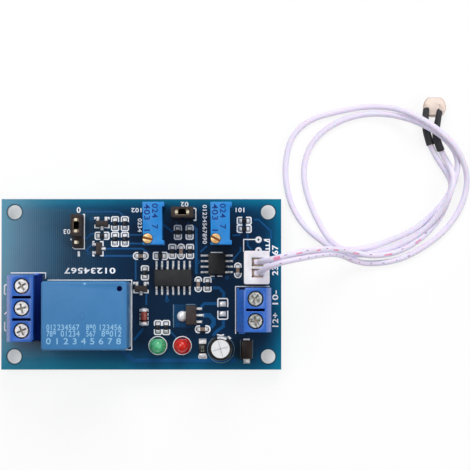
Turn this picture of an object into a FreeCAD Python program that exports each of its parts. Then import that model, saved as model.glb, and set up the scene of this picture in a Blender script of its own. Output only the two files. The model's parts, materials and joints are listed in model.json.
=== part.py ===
import FreeCAD, Part
import math
import os

# Light sensor module: a circuit board with a relay, screw terminals, trimmers
# and a plug-in light sensor on two loose wires.
# Millimetres. X runs along the board, Y across it, Z up from the table that
# the soldered leads stand on. The origin is under the middle of the board.

V = FreeCAD.Vector
UP = V(0, 0, 1)

# Board
board_width = 39.0
board_thickness = 1.6
lead_reach = 2.0
mount_inset = 3.0
mount_hole_diameter = 3.3
plated_hole_diameter = 1.0
hole_clearance = 0.08
solder_height = 0.9
solder_foot = 1.3
solder_tip = 0.35
solder_sides = 5
fit = 0.05

# Relay
relay_length = 19.0
relay_width = 15.3
relay_height = 15.5
relay_gap = 0.67
relay_y = -7.0
relay_edge_chamfer = 0.4
relay_top_chamfer = 0.3
relay_wall = 0.8
relay_pocket_depth = 1.8
relay_base_thickness = 1.45
relay_base_recess = 0.3
relay_vent_diameter = 1.2
relay_vent_depth = 0.2
relay_pin_thickness = 0.5
relay_pin_width = 1.0
relay_common_inset = 2.42
relay_coil_inset = 4.42
relay_contact_inset = 2.38
relay_side_inset = 1.65
relay_vent_inset = 1.62

# Screw terminals, seen from the side: front is where the wire goes in
pole_pitch = 5.0
terminal_height = 10.0
terminal_front = 3.6
terminal_back = 4.2
terminal_top_front = 2.45
terminal_top_back = 2.65
terminal_back_shoulder = 6.0
terminal_back_slope_top = 7.6
terminal_front_slope_foot = 7.2
output_terminal_inset = 5.55
output_terminal_y = -5.42
output_poles = 3
power_terminal_inset = 6.0
power_terminal_reach_x = 28.58
power_terminal_y = -5.78
power_poles = 2
cage_width = 3.9
cage_wall = 0.5
cage_floor = 0.6
cage_bottom = 0.6
cage_top = 6.0
cage_roof = 1.0
cage_back = 2.1
cage_front = 2.5
cage_pin_offset = -0.5
cage_pin_length = 1.0
cage_pin_width = 0.8
entry_width = 3.0
entry_flare = 0.5
pad_thickness = 0.5
pad_length = 3.4
pad_side_gap = 0.1
terminal_bore = 3.6
terminal_screw_head = 3.1
terminal_screw_head_height = 1.4
terminal_screw_thread = 2.5
terminal_screw_recess = 0.25
terminal_slot_width = 0.45
terminal_slot_length = 2.4
terminal_slot_depth = 0.6
barrier_slot_width = 0.6
barrier_slot_length = 4.2
barrier_slot_depth = 1.5
rib_width = 1.05
rib_proud = 0.4
rib_offset = -3.0

# Trimmers
trimmer_width = 4.4
trimmer_length = 9.6
trimmer_height = 10.0
trimmer_foot_height = 0.5
trimmer_rib_depth = 0.43
trimmer_rib_width = 1.0
trimmer_y = 13.7
time_trimmer_x = 2.8
sensitivity_trimmer_x = 18.05
trimmer_screw_diameter = 2.2
trimmer_screw_length = 2.1
trimmer_screw_proud = 0.5
trimmer_screw_side = 1.0
trimmer_screw_from_end = 1.35
trimmer_slot_width = 0.5
trimmer_slot_depth = 0.6
small_pin = 0.5
small_corner = 0.25

# Pin headers and their jumper caps
pin_pitch = 2.54
header_pin = 0.64
header_base_height = 2.5
header_pin_top = 8.5
header_pin_tail = 1.4
header_corner = 0.4
mode_header_x = -14.4
mode_header_y = 12.0
mode_header_pins = 3
delay_header_x = 9.5
delay_header_y = 16.27
delay_header_pins = 2
cap_length = 5.04
cap_width = 2.4
cap_height = 6.0
cap_lift = 0.1
cap_wall_end = 0.37
cap_wall_side = 0.4
cap_lid = 0.4
cap_window_length = 3.3
cap_window_width = 1.4
clip_strip = 0.2
clip_gap = 0.02
clip_bump = 0.3
clip_tip = 0.75
clip_inset = 0.5

# Sensor connector
connector_inset = 5.7
connector_gap = 0.78
shroud_length = 5.75
shroud_width = 7.5
shroud_height = 7.0
shroud_wall = 0.8
shroud_floor = 1.4
sensor_pin_offset = 0.5
sensor_pin_spread = 1.25
sensor_pin_top = 5.8
plug_flange_height = 2.75
plug_flange_gap = 0.05
plug_window_length = 2.6
plug_window_width = 1.95
plug_window_depth = 3.6
plug_window_shift = 0.2
socket_outer = 1.5
socket_depth = 1.6
socket_bottom = 1.7
crimp_top = 7.2
crimp_width = 1.2

# Wires and light sensor
wire_diameter = 1.35
tube_sides = 6
leg_sides = 4
sleeve_start_diameter = 1.35
sleeve_end_diameter = 1.9
sleeve_wire_overlap = 1.8
sleeve_wire_lead = 2.2
sensor_leg_diameter = 0.5
disc_diameter = 5.1
disc_width = 4.3
disc_thickness = 2.1
disc_edge = 0.3
disc_tilt = 8.0
disc_x = 67.05
disc_y = 40.6
leg_y = 41.2
leg_foot_gap = 0.05
leg_bore_depth = 1.8
leg_insert = 1.6

# Chips in plastic bodies
chip_standoff = 0.1
chip_body_height = 1.4
chip_lead_thickness = 0.2
chip_lead_width = 0.42
chip_lead_pitch = 1.27
chip_lead_reach = 1.05
chip_draft = 0.15
narrow_body_width = 3.9
timer_x = 7.28
timer_y = 1.45
timer_length = 8.65
timer_lead_count = 14
comparator_x = 17.27
comparator_y = 4.65
comparator_length = 4.9
comparator_lead_count = 8
regulator_x = 11.39
regulator_y = -7.07
regulator_width = 2.5
regulator_length = 4.5
regulator_height = 1.5
regulator_lead_pitch = 1.5
regulator_lead_width = 0.45
regulator_lead_thickness = 0.4
regulator_lead_reach = 0.9
regulator_tab_width = 1.7
regulator_middle_extra = 0.35
regulator_foot_inset = 0.1
transistor_length = 2.9
transistor_width = 1.3
transistor_height = 1.0
transistor_lead_pitch = 1.9
transistor_lead_width = 0.4
transistor_lead_thickness = 0.12
transistor_lead_reach = 0.55
transistor_draft = 0.08

# Two-ended parts
small_chip = (1.6, 0.8, 0.45)
small_capacitor = (1.6, 0.8, 0.8)
large_chip = (3.2, 1.6, 0.55)
end_cap_share = 0.3
end_cap_skin = 0.02
solder_wedge = 0.35
glass_diode_x = 0.62
glass_diode_y = -7.47
glass_diode_length = 3.5
glass_diode_diameter = 1.4
glass_diode_cap = 0.5
glass_diode_cap_diameter = 1.5
input_diode_x = 24.05
input_diode_y = -14.9
input_diode_width = 2.6
input_diode_length = 4.3
input_diode_height = 2.2
input_diode_lead_width = 1.5
input_diode_lead_thickness = 0.2

# Lights and capacitor
led_y = -14.0
green_led_x = 3.78
red_led_x = 9.38
led_diameter = 3.0
led_flange_diameter = 3.8
led_flange_height = 1.0
led_height = 5.3
led_flat = 1.55
capacitor_x = 18.17
capacitor_y = -14.45
capacitor_can_diameter = 5.0
capacitor_height = 11.0
capacitor_sleeve_thickness = 0.18
capacitor_rim = 0.5
capacitor_score = 0.2
capacitor_score_depth = 0.1
capacitor_lead_pitch = 2.0

# Places of the small parts, from the middle of the board
chips_along_x = [(-9.0, 11.09), (4.32, 6.49), (23.52, 14.52), (23.52, 12.69)]
chips_along_y = [
    (-6.02, 13.86), (-3.78, 13.86), (-6.02, 10.31), (-3.78, 10.31),
    (7.09, 7.52), (11.12, 7.52), (8.35, 11.89), (11.03, 11.89),
    (0.82, 2.62), (15.13, -0.06), (3.80, -9.90), (5.68, -9.90),
]
capacitors_along_x = [(-0.14, 6.49), (14.03, -10.29)]
capacitors_along_y = [(9.08, 7.52), (22.08, 3.19), (13.02, -0.01)]
large_chip_places = [(14.03, -14.73)]
# Each transistor: x, y and the direction in degrees of its single lead
transistor_places = [(-9.02, 13.9, 270), (-0.07, -0.97, 270), (-9.73, 8.14, 0)]
free_hole_places = [(26.8, 10.3), (26.8, 7.75)]

board_underside = lead_reach
board_top = board_underside + board_thickness
# The board is as long as the row of pieces along its lower half
relay_end = output_terminal_inset + terminal_back + relay_gap + relay_length
board_length = relay_end + power_terminal_reach_x + power_terminal_inset
output_terminal_x = -board_length / 2 + output_terminal_inset
relay_x = output_terminal_x + terminal_back + relay_gap + relay_length / 2
power_terminal_x = board_length / 2 - power_terminal_inset
connector_x = board_length / 2 - connector_inset
connector_y = (power_terminal_y + power_poles * pole_pitch / 2 + connector_gap
               + shroud_width / 2)
sensor_pin_x = connector_x + sensor_pin_offset
# Places are given for a relay that ends at this x, and for a plug whose
# pins stand at this x, y. They move with the relay and with the plug.
laid_out_relay_end = -2.58
laid_out_pins = V(26.8, 3.75, 0)
field_shift = relay_x + relay_length / 2 - laid_out_relay_end
lead_shift = V(sensor_pin_x, connector_y, 0) - laid_out_pins

nodes = {}
through_leads = []


def box(x0, x1, y0, y1, z0, z1):
    return Part.makeBox(x1 - x0, y1 - y0, z1 - z0, V(x0, y0, z0))


def block(x, y, z, dx, dy, dz):
    """A box centred on x, y that stands on z."""
    return Part.makeBox(dx, dy, dz, V(x - dx / 2, y - dy / 2, z))


def rod(x, y, z0, z1, diameter):
    return Part.makeCylinder(diameter / 2, z1 - z0, V(x, y, z0))


def polygon(points):
    return Part.makePolygon(points + points[:1])


def prism(points, along):
    return Part.Face(polygon(points)).extrude(along)


def plan_prism(outline, z0, z1):
    """A solid whose plan is a list of x, y corners."""
    return prism([V(x, y, z0) for x, y in outline], V(0, 0, z1 - z0))


def side_prism(outline, y0, y1):
    """A solid whose side view is a list of x, z corners."""
    return prism([V(x, y0, z) for x, z in outline], V(0, y1 - y0, 0))


def chamfered_outline(dx, dy, corner):
    """The corners of a rectangle with its four corners cut off."""
    a = dx / 2
    b = dy / 2
    return [
        (a - corner, -b), (a, -b + corner), (a, b - corner), (a - corner, b),
        (-a + corner, b), (-a, b - corner), (-a, -b + corner), (-a + corner, -b),
    ]


def rectangle(x, y, z, dx, dy):
    a = dx / 2
    b = dy / 2
    corners = [V(x - a, y - b, z), V(x + a, y - b, z), V(x + a, y + b, z), V(x - a, y + b, z)]
    return polygon(corners)


def stacked(sections):
    """A solid through flat sections that share their number of corners."""
    return Part.makeLoft(sections, True, True)


def moulded_body(x, y, z0, dx, dy, dz, draft):
    """A drafted plastic body that is widest at the parting line halfway up."""
    return stacked([
        rectangle(x, y, z0, dx - 2 * draft, dy - 2 * draft),
        rectangle(x, y, z0 + dz / 2, dx, dy),
        rectangle(x, y, z0 + dz, dx - 2 * draft, dy - 2 * draft),
    ])


def ring_of_corners(x, y, z, width, sides):
    """A level polygon of the given width across its flats."""
    r = width / 2 / math.cos(math.pi / sides)
    corners = []
    for k in range(sides):
        a = 2 * math.pi * (k + 0.5) / sides
        corners.append(V(x + r * math.cos(a), y + r * math.sin(a), z))
    return polygon(corners)


def eight_sided(x, y, z0, z1, width):
    """A hidden shank, or the hole for one, by its width across eight flats."""
    bottom = Part.Face(ring_of_corners(x, y, z0, width, 8))
    return bottom.extrude(V(0, 0, z1 - z0))


def revolved(profile):
    """A solid of revolution about Z from a list of radius, height corners."""
    face = Part.Face(polygon([V(r, 0, z) for r, z in profile]))
    return face.revolve(V(0, 0, 0), UP, 360)


def placed(shape, x, y, z=0.0, turn=0.0):
    copy = shape.copy()
    copy.rotate(V(0, 0, 0), UP, turn)
    copy.translate(V(x, y, z))
    return copy


def upright_edges(shape):
    """The straight edges that run along Z."""
    found = []
    for edge in shape.Edges:
        if len(edge.Vertexes) == 2:
            a, b = [v.Point for v in edge.Vertexes]
            if abs(a.x - b.x) < 1e-6 and abs(a.y - b.y) < 1e-6:
                found.append(edge)
    return found


def edges_at_height(shape, z):
    found = []
    for edge in shape.Edges:
        if all(abs(v.Point.z - z) < 1e-6 for v in edge.Vertexes):
            found.append(edge)
    return found


def lead(x, y, dx, dy, top, bottom=0.0):
    """A lead that goes through the board and is soldered under it."""
    through_leads.append((x, y, dx, dy))
    return block(x, y, bottom, dx, dy, top - bottom)


def keep(node, solids):
    if isinstance(solids, list):
        solids = Part.makeCompound(solids)
    nodes[node] = solids


def make_relay():
    x = relay_x
    y = relay_y
    z = board_top
    case = block(x, y, z, relay_length, relay_width, relay_height)
    case = case.makeChamfer(relay_edge_chamfer, upright_edges(case))
    case = case.makeChamfer(relay_top_chamfer, edges_at_height(case, z + relay_height))
    inner_length = relay_length - 2 * relay_wall
    inner_width = relay_width - 2 * relay_wall
    case = case.cut(block(x, y, z, inner_length, inner_width, relay_pocket_depth))
    end = relay_length / 2
    side = relay_width / 2 - relay_side_inset
    vent_x = x + end - relay_vent_inset
    vent_y = y + side
    top = z + relay_height
    case = case.cut(rod(vent_x, vent_y, top - relay_vent_depth, top, relay_vent_diameter))
    base_bottom = z + relay_base_recess
    base_top = base_bottom + relay_base_thickness
    base_length = inner_length - 2 * fit
    base_width = inner_width - 2 * fit
    base = block(x, y, base_bottom, base_length, base_width, relay_base_thickness)
    pin_places = [
        (end - relay_common_inset, 0.0),
        (end - relay_coil_inset, side), (end - relay_coil_inset, -side),
        (relay_contact_inset - end, side), (relay_contact_inset - end, -side),
    ]
    pins = []
    for px, py in pin_places:
        pins.append(lead(x + px, y + py, relay_pin_thickness, relay_pin_width, base_top))
        slot_length = relay_pin_thickness + 2 * fit
        slot_width = relay_pin_width + 2 * fit
        base = base.cut(block(x + px, y + py, z, slot_length, slot_width, relay_pocket_depth))
    keep("relay_case", case)
    keep("relay_base", base)
    keep("relay_pins", pins)


def terminal_housing(poles):
    """The housing of a screw terminal, front towards +X, on z = 0."""
    half = poles * pole_pitch / 2
    profile = [
        (-terminal_back, 0.0), (terminal_front, 0.0), (terminal_front, terminal_front_slope_foot),
        (terminal_top_front, terminal_height), (-terminal_top_back, terminal_height),
        (-terminal_top_back, terminal_back_slope_top), (-terminal_back, terminal_back_shoulder),
    ]
    housing = side_prism(profile, -half, half)
    neck = rib_width / 2
    wide = neck + rib_proud / 2
    y0 = -half
    y1 = -half - rib_proud
    rib = [(rib_offset - neck, y0), (rib_offset - wide, y1), (rib_offset + wide, y1),
           (rib_offset + neck, y0)]
    housing = housing.fuse(plan_prism(rib, 0.0, terminal_back_shoulder))
    g = fit
    groove = [(rib_offset - neck - g, half), (rib_offset - wide - g, half - rib_proud - g),
              (rib_offset + wide + g, half - rib_proud - g), (rib_offset + neck + g, half)]
    housing = housing.cut(plan_prism(groove, 0.0, terminal_height))
    for k in range(poles):
        y = pole_y(k, poles)
        cage_half = cage_width / 2 + fit
        cavity = box(-cage_back - fit, cage_front + fit, y - cage_half, y + cage_half,
                     0.0, cage_top + fit)
        housing = housing.cut(cavity)
        housing = housing.cut(rod(0.0, y, cage_top, terminal_height, terminal_bore))
        housing = housing.cut(wire_entry(y))
    for k in range(poles - 1):
        y = (pole_y(k, poles) + pole_y(k + 1, poles)) / 2
        slot = block(0.0, y, terminal_height - barrier_slot_depth,
                     barrier_slot_length, barrier_slot_width, barrier_slot_depth)
        housing = housing.cut(slot)
    return housing


def wire_entry(y):
    """The tapered mouth in the front wall, as wide as the cage behind it."""
    z0 = cage_bottom + cage_floor
    z1 = cage_top - cage_roof
    a = entry_width / 2
    b = a + entry_flare
    f0 = cage_front
    f1 = terminal_front
    inner = polygon([V(f0, y - a, z0), V(f0, y + a, z0), V(f0, y + a, z1), V(f0, y - a, z1)])
    e = entry_flare
    outer = polygon([V(f1, y - b, z0 - e), V(f1, y + b, z0 - e), V(f1, y + b, z1 + e),
                     V(f1, y - b, z1 + e)])
    return stacked([inner, outer])


def pole_y(index, poles):
    return (index - (poles - 1) / 2) * pole_pitch


def terminal_cage(y):
    """The brass cage that the wire goes into, with its soldered pin."""
    a = cage_width / 2
    b = a - cage_wall
    cage = box(-cage_back, cage_front, y - a, y + a, cage_bottom, cage_top)
    inside = box(-cage_back, cage_front, y - b, y + b, cage_bottom + cage_floor,
                 cage_top - cage_roof)
    cage = cage.cut(inside)
    cage = cage.cut(eight_sided(0.0, y, cage_top - cage_roof, cage_top,
                                terminal_screw_thread + 2 * fit))
    return cage


def pressure_pad(y):
    top = cage_top - cage_roof - fit
    width = cage_width - 2 * cage_wall - 2 * pad_side_gap
    return block(0.0, y, top - pad_thickness, pad_length, width, pad_thickness)


def terminal_screw(y):
    top = terminal_height - terminal_screw_recess
    shoulder = top - terminal_screw_head_height
    foot = cage_top - cage_roof - fit
    shank = terminal_screw_thread * math.cos(math.pi / 8)
    screw = rod(0.0, y, shoulder, top, terminal_screw_head)
    screw = screw.fuse(eight_sided(0.0, y, foot, shoulder, shank))
    cut_z = top - terminal_slot_depth
    cross = block(0.0, y, cut_z, terminal_slot_length, terminal_slot_width, terminal_slot_depth)
    other = block(0.0, y, cut_z, terminal_slot_width, terminal_slot_length, terminal_slot_depth)
    return screw.cut(cross.fuse(other))


def make_terminal(name, poles, x, y, turn):
    keep(name + "_terminal_housing", placed(terminal_housing(poles), x, y, board_top, turn))
    side = -1 if turn == 180 else 1
    contacts = []
    for k in range(poles):
        local = pole_y(k, poles)
        pin = lead(x + side * cage_pin_offset, y + side * local, cage_pin_length,
                   cage_pin_width, board_top + cage_bottom)
        cage = placed(terminal_cage(local), x, y, board_top, turn)
        contacts.append(cage.fuse(pin))
        number = str(k + 1)
        pad = placed(pressure_pad(local), x, y, board_top, turn)
        keep(name + "_terminal_pad_" + number, pad)
        screw = placed(terminal_screw(local), x, y, board_top, turn)
        keep(name + "_terminal_screw_" + number, screw)
    keep(name + "_terminal_contacts", contacts)


def make_trimmer(name, x):
    """A multi-turn trimmer: ribbed body on two feet, brass adjusting screw."""
    y = trimmer_y
    z = board_top
    floor = z + trimmer_foot_height
    top = z + trimmer_height
    end = trimmer_length / 2
    side = trimmer_width / 2
    w = trimmer_rib_width
    d = trimmer_rib_depth
    plan = [
        (-side, -end), (side + d, -end), (side + d, -end + w), (side, -end + w),
        (side, end - w), (side + d, end - w), (side + d, end), (-side, end),
    ]
    body = plan_prism([(x + a, y + b) for a, b in plan], floor, top)
    for edge_y in (y - end + w / 2, y + end - w / 2):
        body = body.fuse(block(x, edge_y, z, trimmer_width, w, trimmer_foot_height))
    screw_x = x - trimmer_screw_side
    screw_y = y - end + trimmer_screw_from_end
    screw_top = top + trimmer_screw_proud
    screw_foot = screw_top - trimmer_screw_length
    pocket = rod(screw_x, screw_y, screw_foot, top, trimmer_screw_diameter + 2 * fit)
    keep(name + "_trimmer_housing", body.cut(pocket).removeSplitter())
    screw = rod(screw_x, screw_y, screw_foot, screw_top, trimmer_screw_diameter)
    slot = block(screw_x, screw_y, screw_top - trimmer_slot_depth,
                 trimmer_screw_diameter, trimmer_slot_width, trimmer_slot_depth)
    keep(name + "_trimmer_screw", screw.cut(slot))
    pins = []
    for k in (-1, 0, 1):
        pins.append(lead(x, y + k * pin_pitch, small_pin, small_pin, floor))
    return pins


def header_base(count):
    """Header insulator along X with a notch between each pair of pins."""
    depth = pin_pitch
    base = None
    for k in range(count):
        x = (k - (count - 1) / 2) * pin_pitch
        outline = [(x + a, b) for a, b in chamfered_outline(pin_pitch, depth, header_corner)]
        piece = plan_prism(outline, 0.0, header_base_height)
        base = piece if base is None else base.fuse(piece)
    hole = header_pin + 2 * clip_gap
    for k in range(count):
        x = (k - (count - 1) / 2) * pin_pitch
        base = base.cut(block(x, 0.0, 0.0, hole, hole, header_base_height))
    return base.removeSplitter()


def jumper_cap():
    """Jumper cap along X, open below, with a window over its two pins."""
    low = header_base_height + cap_lift
    outline = chamfered_outline(cap_length, cap_width, small_corner)
    cap = plan_prism(outline, low, low + cap_height)
    cavity = block(0.0, 0.0, low, cap_length - 2 * cap_wall_end,
                   cap_width - 2 * cap_wall_side, cap_height - cap_lid)
    window = block(0.0, 0.0, low, cap_window_length, cap_window_width, cap_height)
    return cap.cut(cavity).cut(window)


def jumper_clip():
    """Sprung strip with its closed side at -Y and a bump at each pin."""
    e = cap_length / 2 - cap_wall_end - clip_gap
    h = cap_width / 2 - cap_wall_side - clip_gap
    t = clip_strip
    pin = pin_pitch / 2
    p = header_pin / 2 + clip_gap
    right = [
        (e, -h), (e, h), (clip_tip, h), (clip_tip, h - t), (pin - clip_bump, h - t),
        (pin, p), (pin + clip_bump, h - t), (e - t, h - t), (e - t, -h + t),
        (pin + clip_bump, -h + t), (pin, -p), (pin - clip_bump, -h + t),
    ]
    left = [(-a, b) for a, b in reversed(right)]
    low = header_base_height + cap_lift + clip_inset
    high = header_base_height + cap_lift + cap_height - clip_inset
    return plan_prism(right + left, low, high)


def make_header(name, x, y, pins, turn, cap_shift):
    """A header with a jumper cap over two of its pins."""
    x += field_shift
    base = placed(header_base(pins), x, y, board_top, turn)
    keep(name + "_header_base", base)
    across = 1 if turn == 0 else 0
    along = 1 - across
    cap_x = x + cap_shift * across
    cap_y = y + cap_shift * along
    keep(name + "_jumper_cap", placed(jumper_cap(), cap_x, cap_y, board_top, turn))
    keep(name + "_jumper_clip", placed(jumper_clip(), cap_x, cap_y, board_top, turn))
    solids = []
    for k in range(pins):
        step = (k - (pins - 1) / 2) * pin_pitch
        solids.append(header_post(x + step * across, y + step * along, header_pin_top))
    return solids


def header_post(x, y, top):
    tail = board_underside - header_pin_tail
    return lead(x, y, header_pin, header_pin, board_top + top, tail)


def make_connector():
    """Shrouded header, and the plug that carries both sensor wires."""
    x = connector_x
    y = connector_y
    z = board_top
    outline = chamfered_outline(shroud_length, shroud_width, small_corner)
    outline = [(x + a, y + b) for a, b in outline]
    shroud = plan_prism(outline, z, z + shroud_height)
    inner_length = shroud_length - 2 * shroud_wall
    inner_width = shroud_width - 2 * shroud_wall
    well = block(x, y, z + shroud_floor, inner_length, inner_width, shroud_height)
    shroud = shroud.cut(well)
    plug_bottom = z + shroud_floor + fit
    flange_bottom = z + shroud_height + plug_flange_gap
    flange_top = flange_bottom + plug_flange_height
    plug = block(x, y, plug_bottom, inner_length - 2 * fit, inner_width - 2 * fit,
                 flange_top - plug_bottom)
    plug = plug.fuse(plan_prism(outline, flange_bottom, flange_top))
    posts = []
    contacts = []
    for side in (1, -1):
        pin_y = y + side * sensor_pin_spread
        posts.append(header_post(sensor_pin_x, pin_y, sensor_pin_top))
        hole = header_pin + 2 * clip_gap
        shroud = shroud.cut(block(sensor_pin_x, pin_y, z, hole, hole, shroud_floor))
        window_bottom = flange_top - plug_window_depth
        window = block(x + plug_window_shift, pin_y, window_bottom, plug_window_length,
                       plug_window_width, plug_window_depth)
        channel = block(sensor_pin_x, pin_y, plug_bottom, socket_outer + 2 * fit,
                        socket_depth + 2 * fit, window_bottom - plug_bottom)
        plug = plug.cut(window.fuse(channel))
        socket_z = z + socket_bottom
        socket_top = window_bottom - fit
        socket = block(sensor_pin_x, pin_y, socket_z, socket_outer, socket_depth,
                       socket_top - socket_z)
        room = header_pin + 2 * clip_gap
        reach = z + sensor_pin_top + fit - socket_z
        socket = socket.cut(block(sensor_pin_x, pin_y, socket_z, room, room, reach))
        crimp = block(sensor_pin_x, pin_y, socket_top, crimp_width, crimp_width,
                      z + crimp_top - socket_top)
        contacts.append(socket.fuse(crimp))
    keep("sensor_header_shroud", shroud)
    keep("sensor_header_pins", posts)
    keep("sensor_plug_housing", plug.removeSplitter())
    keep("sensor_plug_contacts", contacts)


def gull_lead(reach, middle, thickness, width):
    """A lead that leaves a body at x = 0 towards +X and ends flat on z = 0."""
    t = thickness
    r = reach
    outline = [
        (0.0, middle - t / 2), (0.28 * r, middle - t / 2), (0.42 * r, 0.0), (r, 0.0),
        (r, t), (0.42 * r + t, t), (0.28 * r + t, middle + t / 2), (0.0, middle + t / 2),
    ]
    return side_prism(outline, -width / 2, width / 2)


def row_chip(name, x, y, length, lead_count, turn):
    """A chip with two rows of leads; its length runs along X before the turn."""
    z = board_top
    body = moulded_body(0, 0, chip_standoff, length, narrow_body_width, chip_body_height,
                        chip_draft)
    keep(name + "_chip_body", placed(body, x, y, z, turn))
    middle = chip_standoff + chip_body_height / 2
    one = gull_lead(chip_lead_reach, middle, chip_lead_thickness, chip_lead_width)
    row = lead_count // 2
    solids = []
    for side in (90, -90):
        for k in range(row):
            step = (k - (row - 1) / 2) * chip_lead_pitch
            part = placed(one, 0, 0, 0, side)
            part.translate(V(step, math.copysign(narrow_body_width / 2, side), 0))
            solids.append(placed(part, x, y, z, turn))
    keep(name + "_chip_leads", solids)


def make_regulator():
    """A flat power package: wide tab at -X, three flat leads at +X."""
    x = regulator_x + field_shift
    y = regulator_y
    z = board_top
    body = moulded_body(x, y, z, regulator_width, regulator_length, regulator_height,
                        regulator_foot_inset)
    half = regulator_width / 2
    foot = half - regulator_foot_inset
    t = regulator_lead_thickness
    tab = box(x - half - regulator_lead_reach, x + foot, y - regulator_tab_width / 2,
              y + regulator_tab_width / 2, z, z + t)
    solids = [tab]
    for k in (-1, 0, 1):
        lead_y = y + k * regulator_lead_pitch
        reach = regulator_lead_reach + (regulator_middle_extra if k == 0 else 0.0)
        start = x + foot
        solids.append(box(start, x + half + reach, lead_y - regulator_lead_width / 2,
                          lead_y + regulator_lead_width / 2, z, z + t))
    for solid in solids:
        body = body.cut(solid)
    keep("regulator_body", body)
    keep("regulator_leads", [tab.fuse(solids[2]).removeSplitter(), solids[1], solids[3]])


def make_transistors():
    bodies = []
    leads = []
    middle = transistor_draft + transistor_height / 2
    one = gull_lead(transistor_lead_reach, middle, transistor_lead_thickness,
                    transistor_lead_width)
    for place_x, y, turn in transistor_places:
        x = place_x + field_shift
        body = moulded_body(0, 0, transistor_draft, transistor_width, transistor_length,
                            transistor_height, transistor_draft)
        bodies.append(placed(body, x, y, board_top, turn))
        single = placed(one, transistor_width / 2, 0)
        leads.append(placed(single, x, y, board_top, turn))
        for side in (1, -1):
            pair = placed(one, -transistor_width / 2, side * transistor_lead_pitch / 2, 0, 180)
            leads.append(placed(pair, x, y, board_top, turn))
    keep("transistor_bodies", bodies)
    keep("transistor_leads", leads)


wedges = []


def two_ended(size, x, y, turn):
    """A ceramic block along X with a metal cap and a solder wedge at each end."""
    length, width, height = size
    cap = length * end_cap_share / 2
    z = board_top
    s = end_cap_skin
    body = box(-length / 2 + cap, length / 2 - cap, -width / 2, width / 2, s, height)
    caps = []
    for side in (0, 180):
        end = box(length / 2 - cap, length / 2, -width / 2 - s, width / 2 + s, 0, height + s)
        caps.append(placed(end, x, y, z, turn + side))
        outline = [(length / 2, 0.0), (length / 2 + solder_wedge, 0.0),
                   (length / 2, height * 0.7)]
        wedge = side_prism(outline, -width / 2, width / 2)
        wedges.append(placed(wedge, x, y, z, turn + side))
    return placed(body, x, y, z, turn), caps


def make_two_ended_parts():
    caps = []
    resistors = []
    capacitors = []
    groups = [
        (small_chip, chips_along_x, 0, resistors),
        (small_chip, chips_along_y, 90, resistors),
        (large_chip, large_chip_places, 90, resistors),
        (small_capacitor, capacitors_along_x, 0, capacitors),
        (small_capacitor, capacitors_along_y, 90, capacitors),
    ]
    for size, places, turn, bodies in groups:
        for x, y in places:
            body, ends = two_ended(size, x + field_shift, y, turn)
            bodies.append(body)
            caps.extend(ends)
    z = board_top + glass_diode_cap_diameter / 2
    glass_length = glass_diode_length - 2 * glass_diode_cap
    diode_x = glass_diode_x + field_shift
    start = V(diode_x, glass_diode_y - glass_length / 2, z)
    along = V(0, 1, 0)
    glass = Part.makeCylinder(glass_diode_diameter / 2, glass_length, start, along)
    keep("clamp_diode_glass", glass)
    for side in (1, -1):
        end = V(diode_x, glass_diode_y + side * glass_length / 2, z)
        caps.append(Part.makeCylinder(glass_diode_cap_diameter / 2, glass_diode_cap, end,
                                      along * side))
    keep("chip_resistor_bodies", resistors)
    keep("chip_capacitor_bodies", capacitors)
    keep("chip_end_caps", caps)


def make_input_diode():
    x = input_diode_x + field_shift
    y = input_diode_y
    z = board_top
    t = input_diode_lead_thickness
    body_height = input_diode_height - t
    end = input_diode_length / 2
    body = moulded_body(x, y, z + t, input_diode_width, input_diode_length, body_height, 0.15)
    middle = t + body_height / 2
    outline = [
        (end, middle - t / 2), (end + 0.15, middle - t / 2), (end + 0.15, t), (end - 0.6, t),
        (end - 0.6, 0.0), (end + 0.15 + t, 0.0), (end + 0.15 + t, middle + t / 2),
        (end, middle + t / 2),
    ]
    one = side_prism(outline, -input_diode_lead_width / 2, input_diode_lead_width / 2)
    keep("input_diode_body", body)
    keep("input_diode_leads", [placed(one, x, y, z, 90), placed(one, x, y, z, -90)])


def make_led(node, x):
    """A round lens with a domed top and a flange with one flat side."""
    r = led_diameter / 2
    dome_z = led_height - r
    flange_r = led_flange_diameter / 2
    profile = [(0, 0), (flange_r, 0), (flange_r, led_flange_height), (r, led_flange_height),
               (r, dome_z)]
    a = math.radians(50)
    profile.append((r * math.cos(a), dome_z + r * math.sin(a)))
    lens = revolved(profile + [(0, led_height)])
    flat = box(-flange_r, flange_r, led_flat, flange_r + 1, 0, led_flange_height)
    lens = lens.cut(flat)
    keep(node, placed(lens, x, led_y, board_top))
    leads = []
    for side in (1, -1):
        leads.append(lead(x + side * pin_pitch / 2, led_y, small_pin, small_pin, board_top,
                          board_underside - header_pin_tail))
    return leads


def make_capacitor():
    """An upright can in a shrunk sleeve that folds over its top edge."""
    r = capacitor_can_diameter / 2
    s = capacitor_sleeve_thickness
    h = capacitor_height
    can_top = h - s
    place_x = capacitor_x + field_shift
    d = capacitor_score_depth
    can = rod(0, 0, s, can_top, capacitor_can_diameter)
    score = block(0, 0, can_top - d, 1.3 * r, capacitor_score, d)
    other = block(0, 0, can_top - d, capacitor_score, 1.3 * r, d)
    can = can.cut(score.fuse(other))
    a = r + end_cap_skin
    b = r + s
    rim = r - capacitor_rim
    c = end_cap_skin
    sleeve = revolved([
        (rim, 0), (b, 0), (b, h - 0.3), (b - 0.3, h + c), (rim, h + c),
        (rim, can_top + c), (a, can_top + c), (a, s - c), (rim, s - c),
    ])
    keep("capacitor_can", placed(can, place_x, capacitor_y, board_top))
    keep("capacitor_sleeve", placed(sleeve, place_x, capacitor_y, board_top))
    leads = []
    for side in (1, -1):
        x = place_x + side * capacitor_lead_pitch / 2
        leads.append(lead(x, capacitor_y, small_pin, small_pin,
                          board_top + capacitor_sleeve_thickness,
                          board_underside - header_pin_tail))
    return leads


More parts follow.
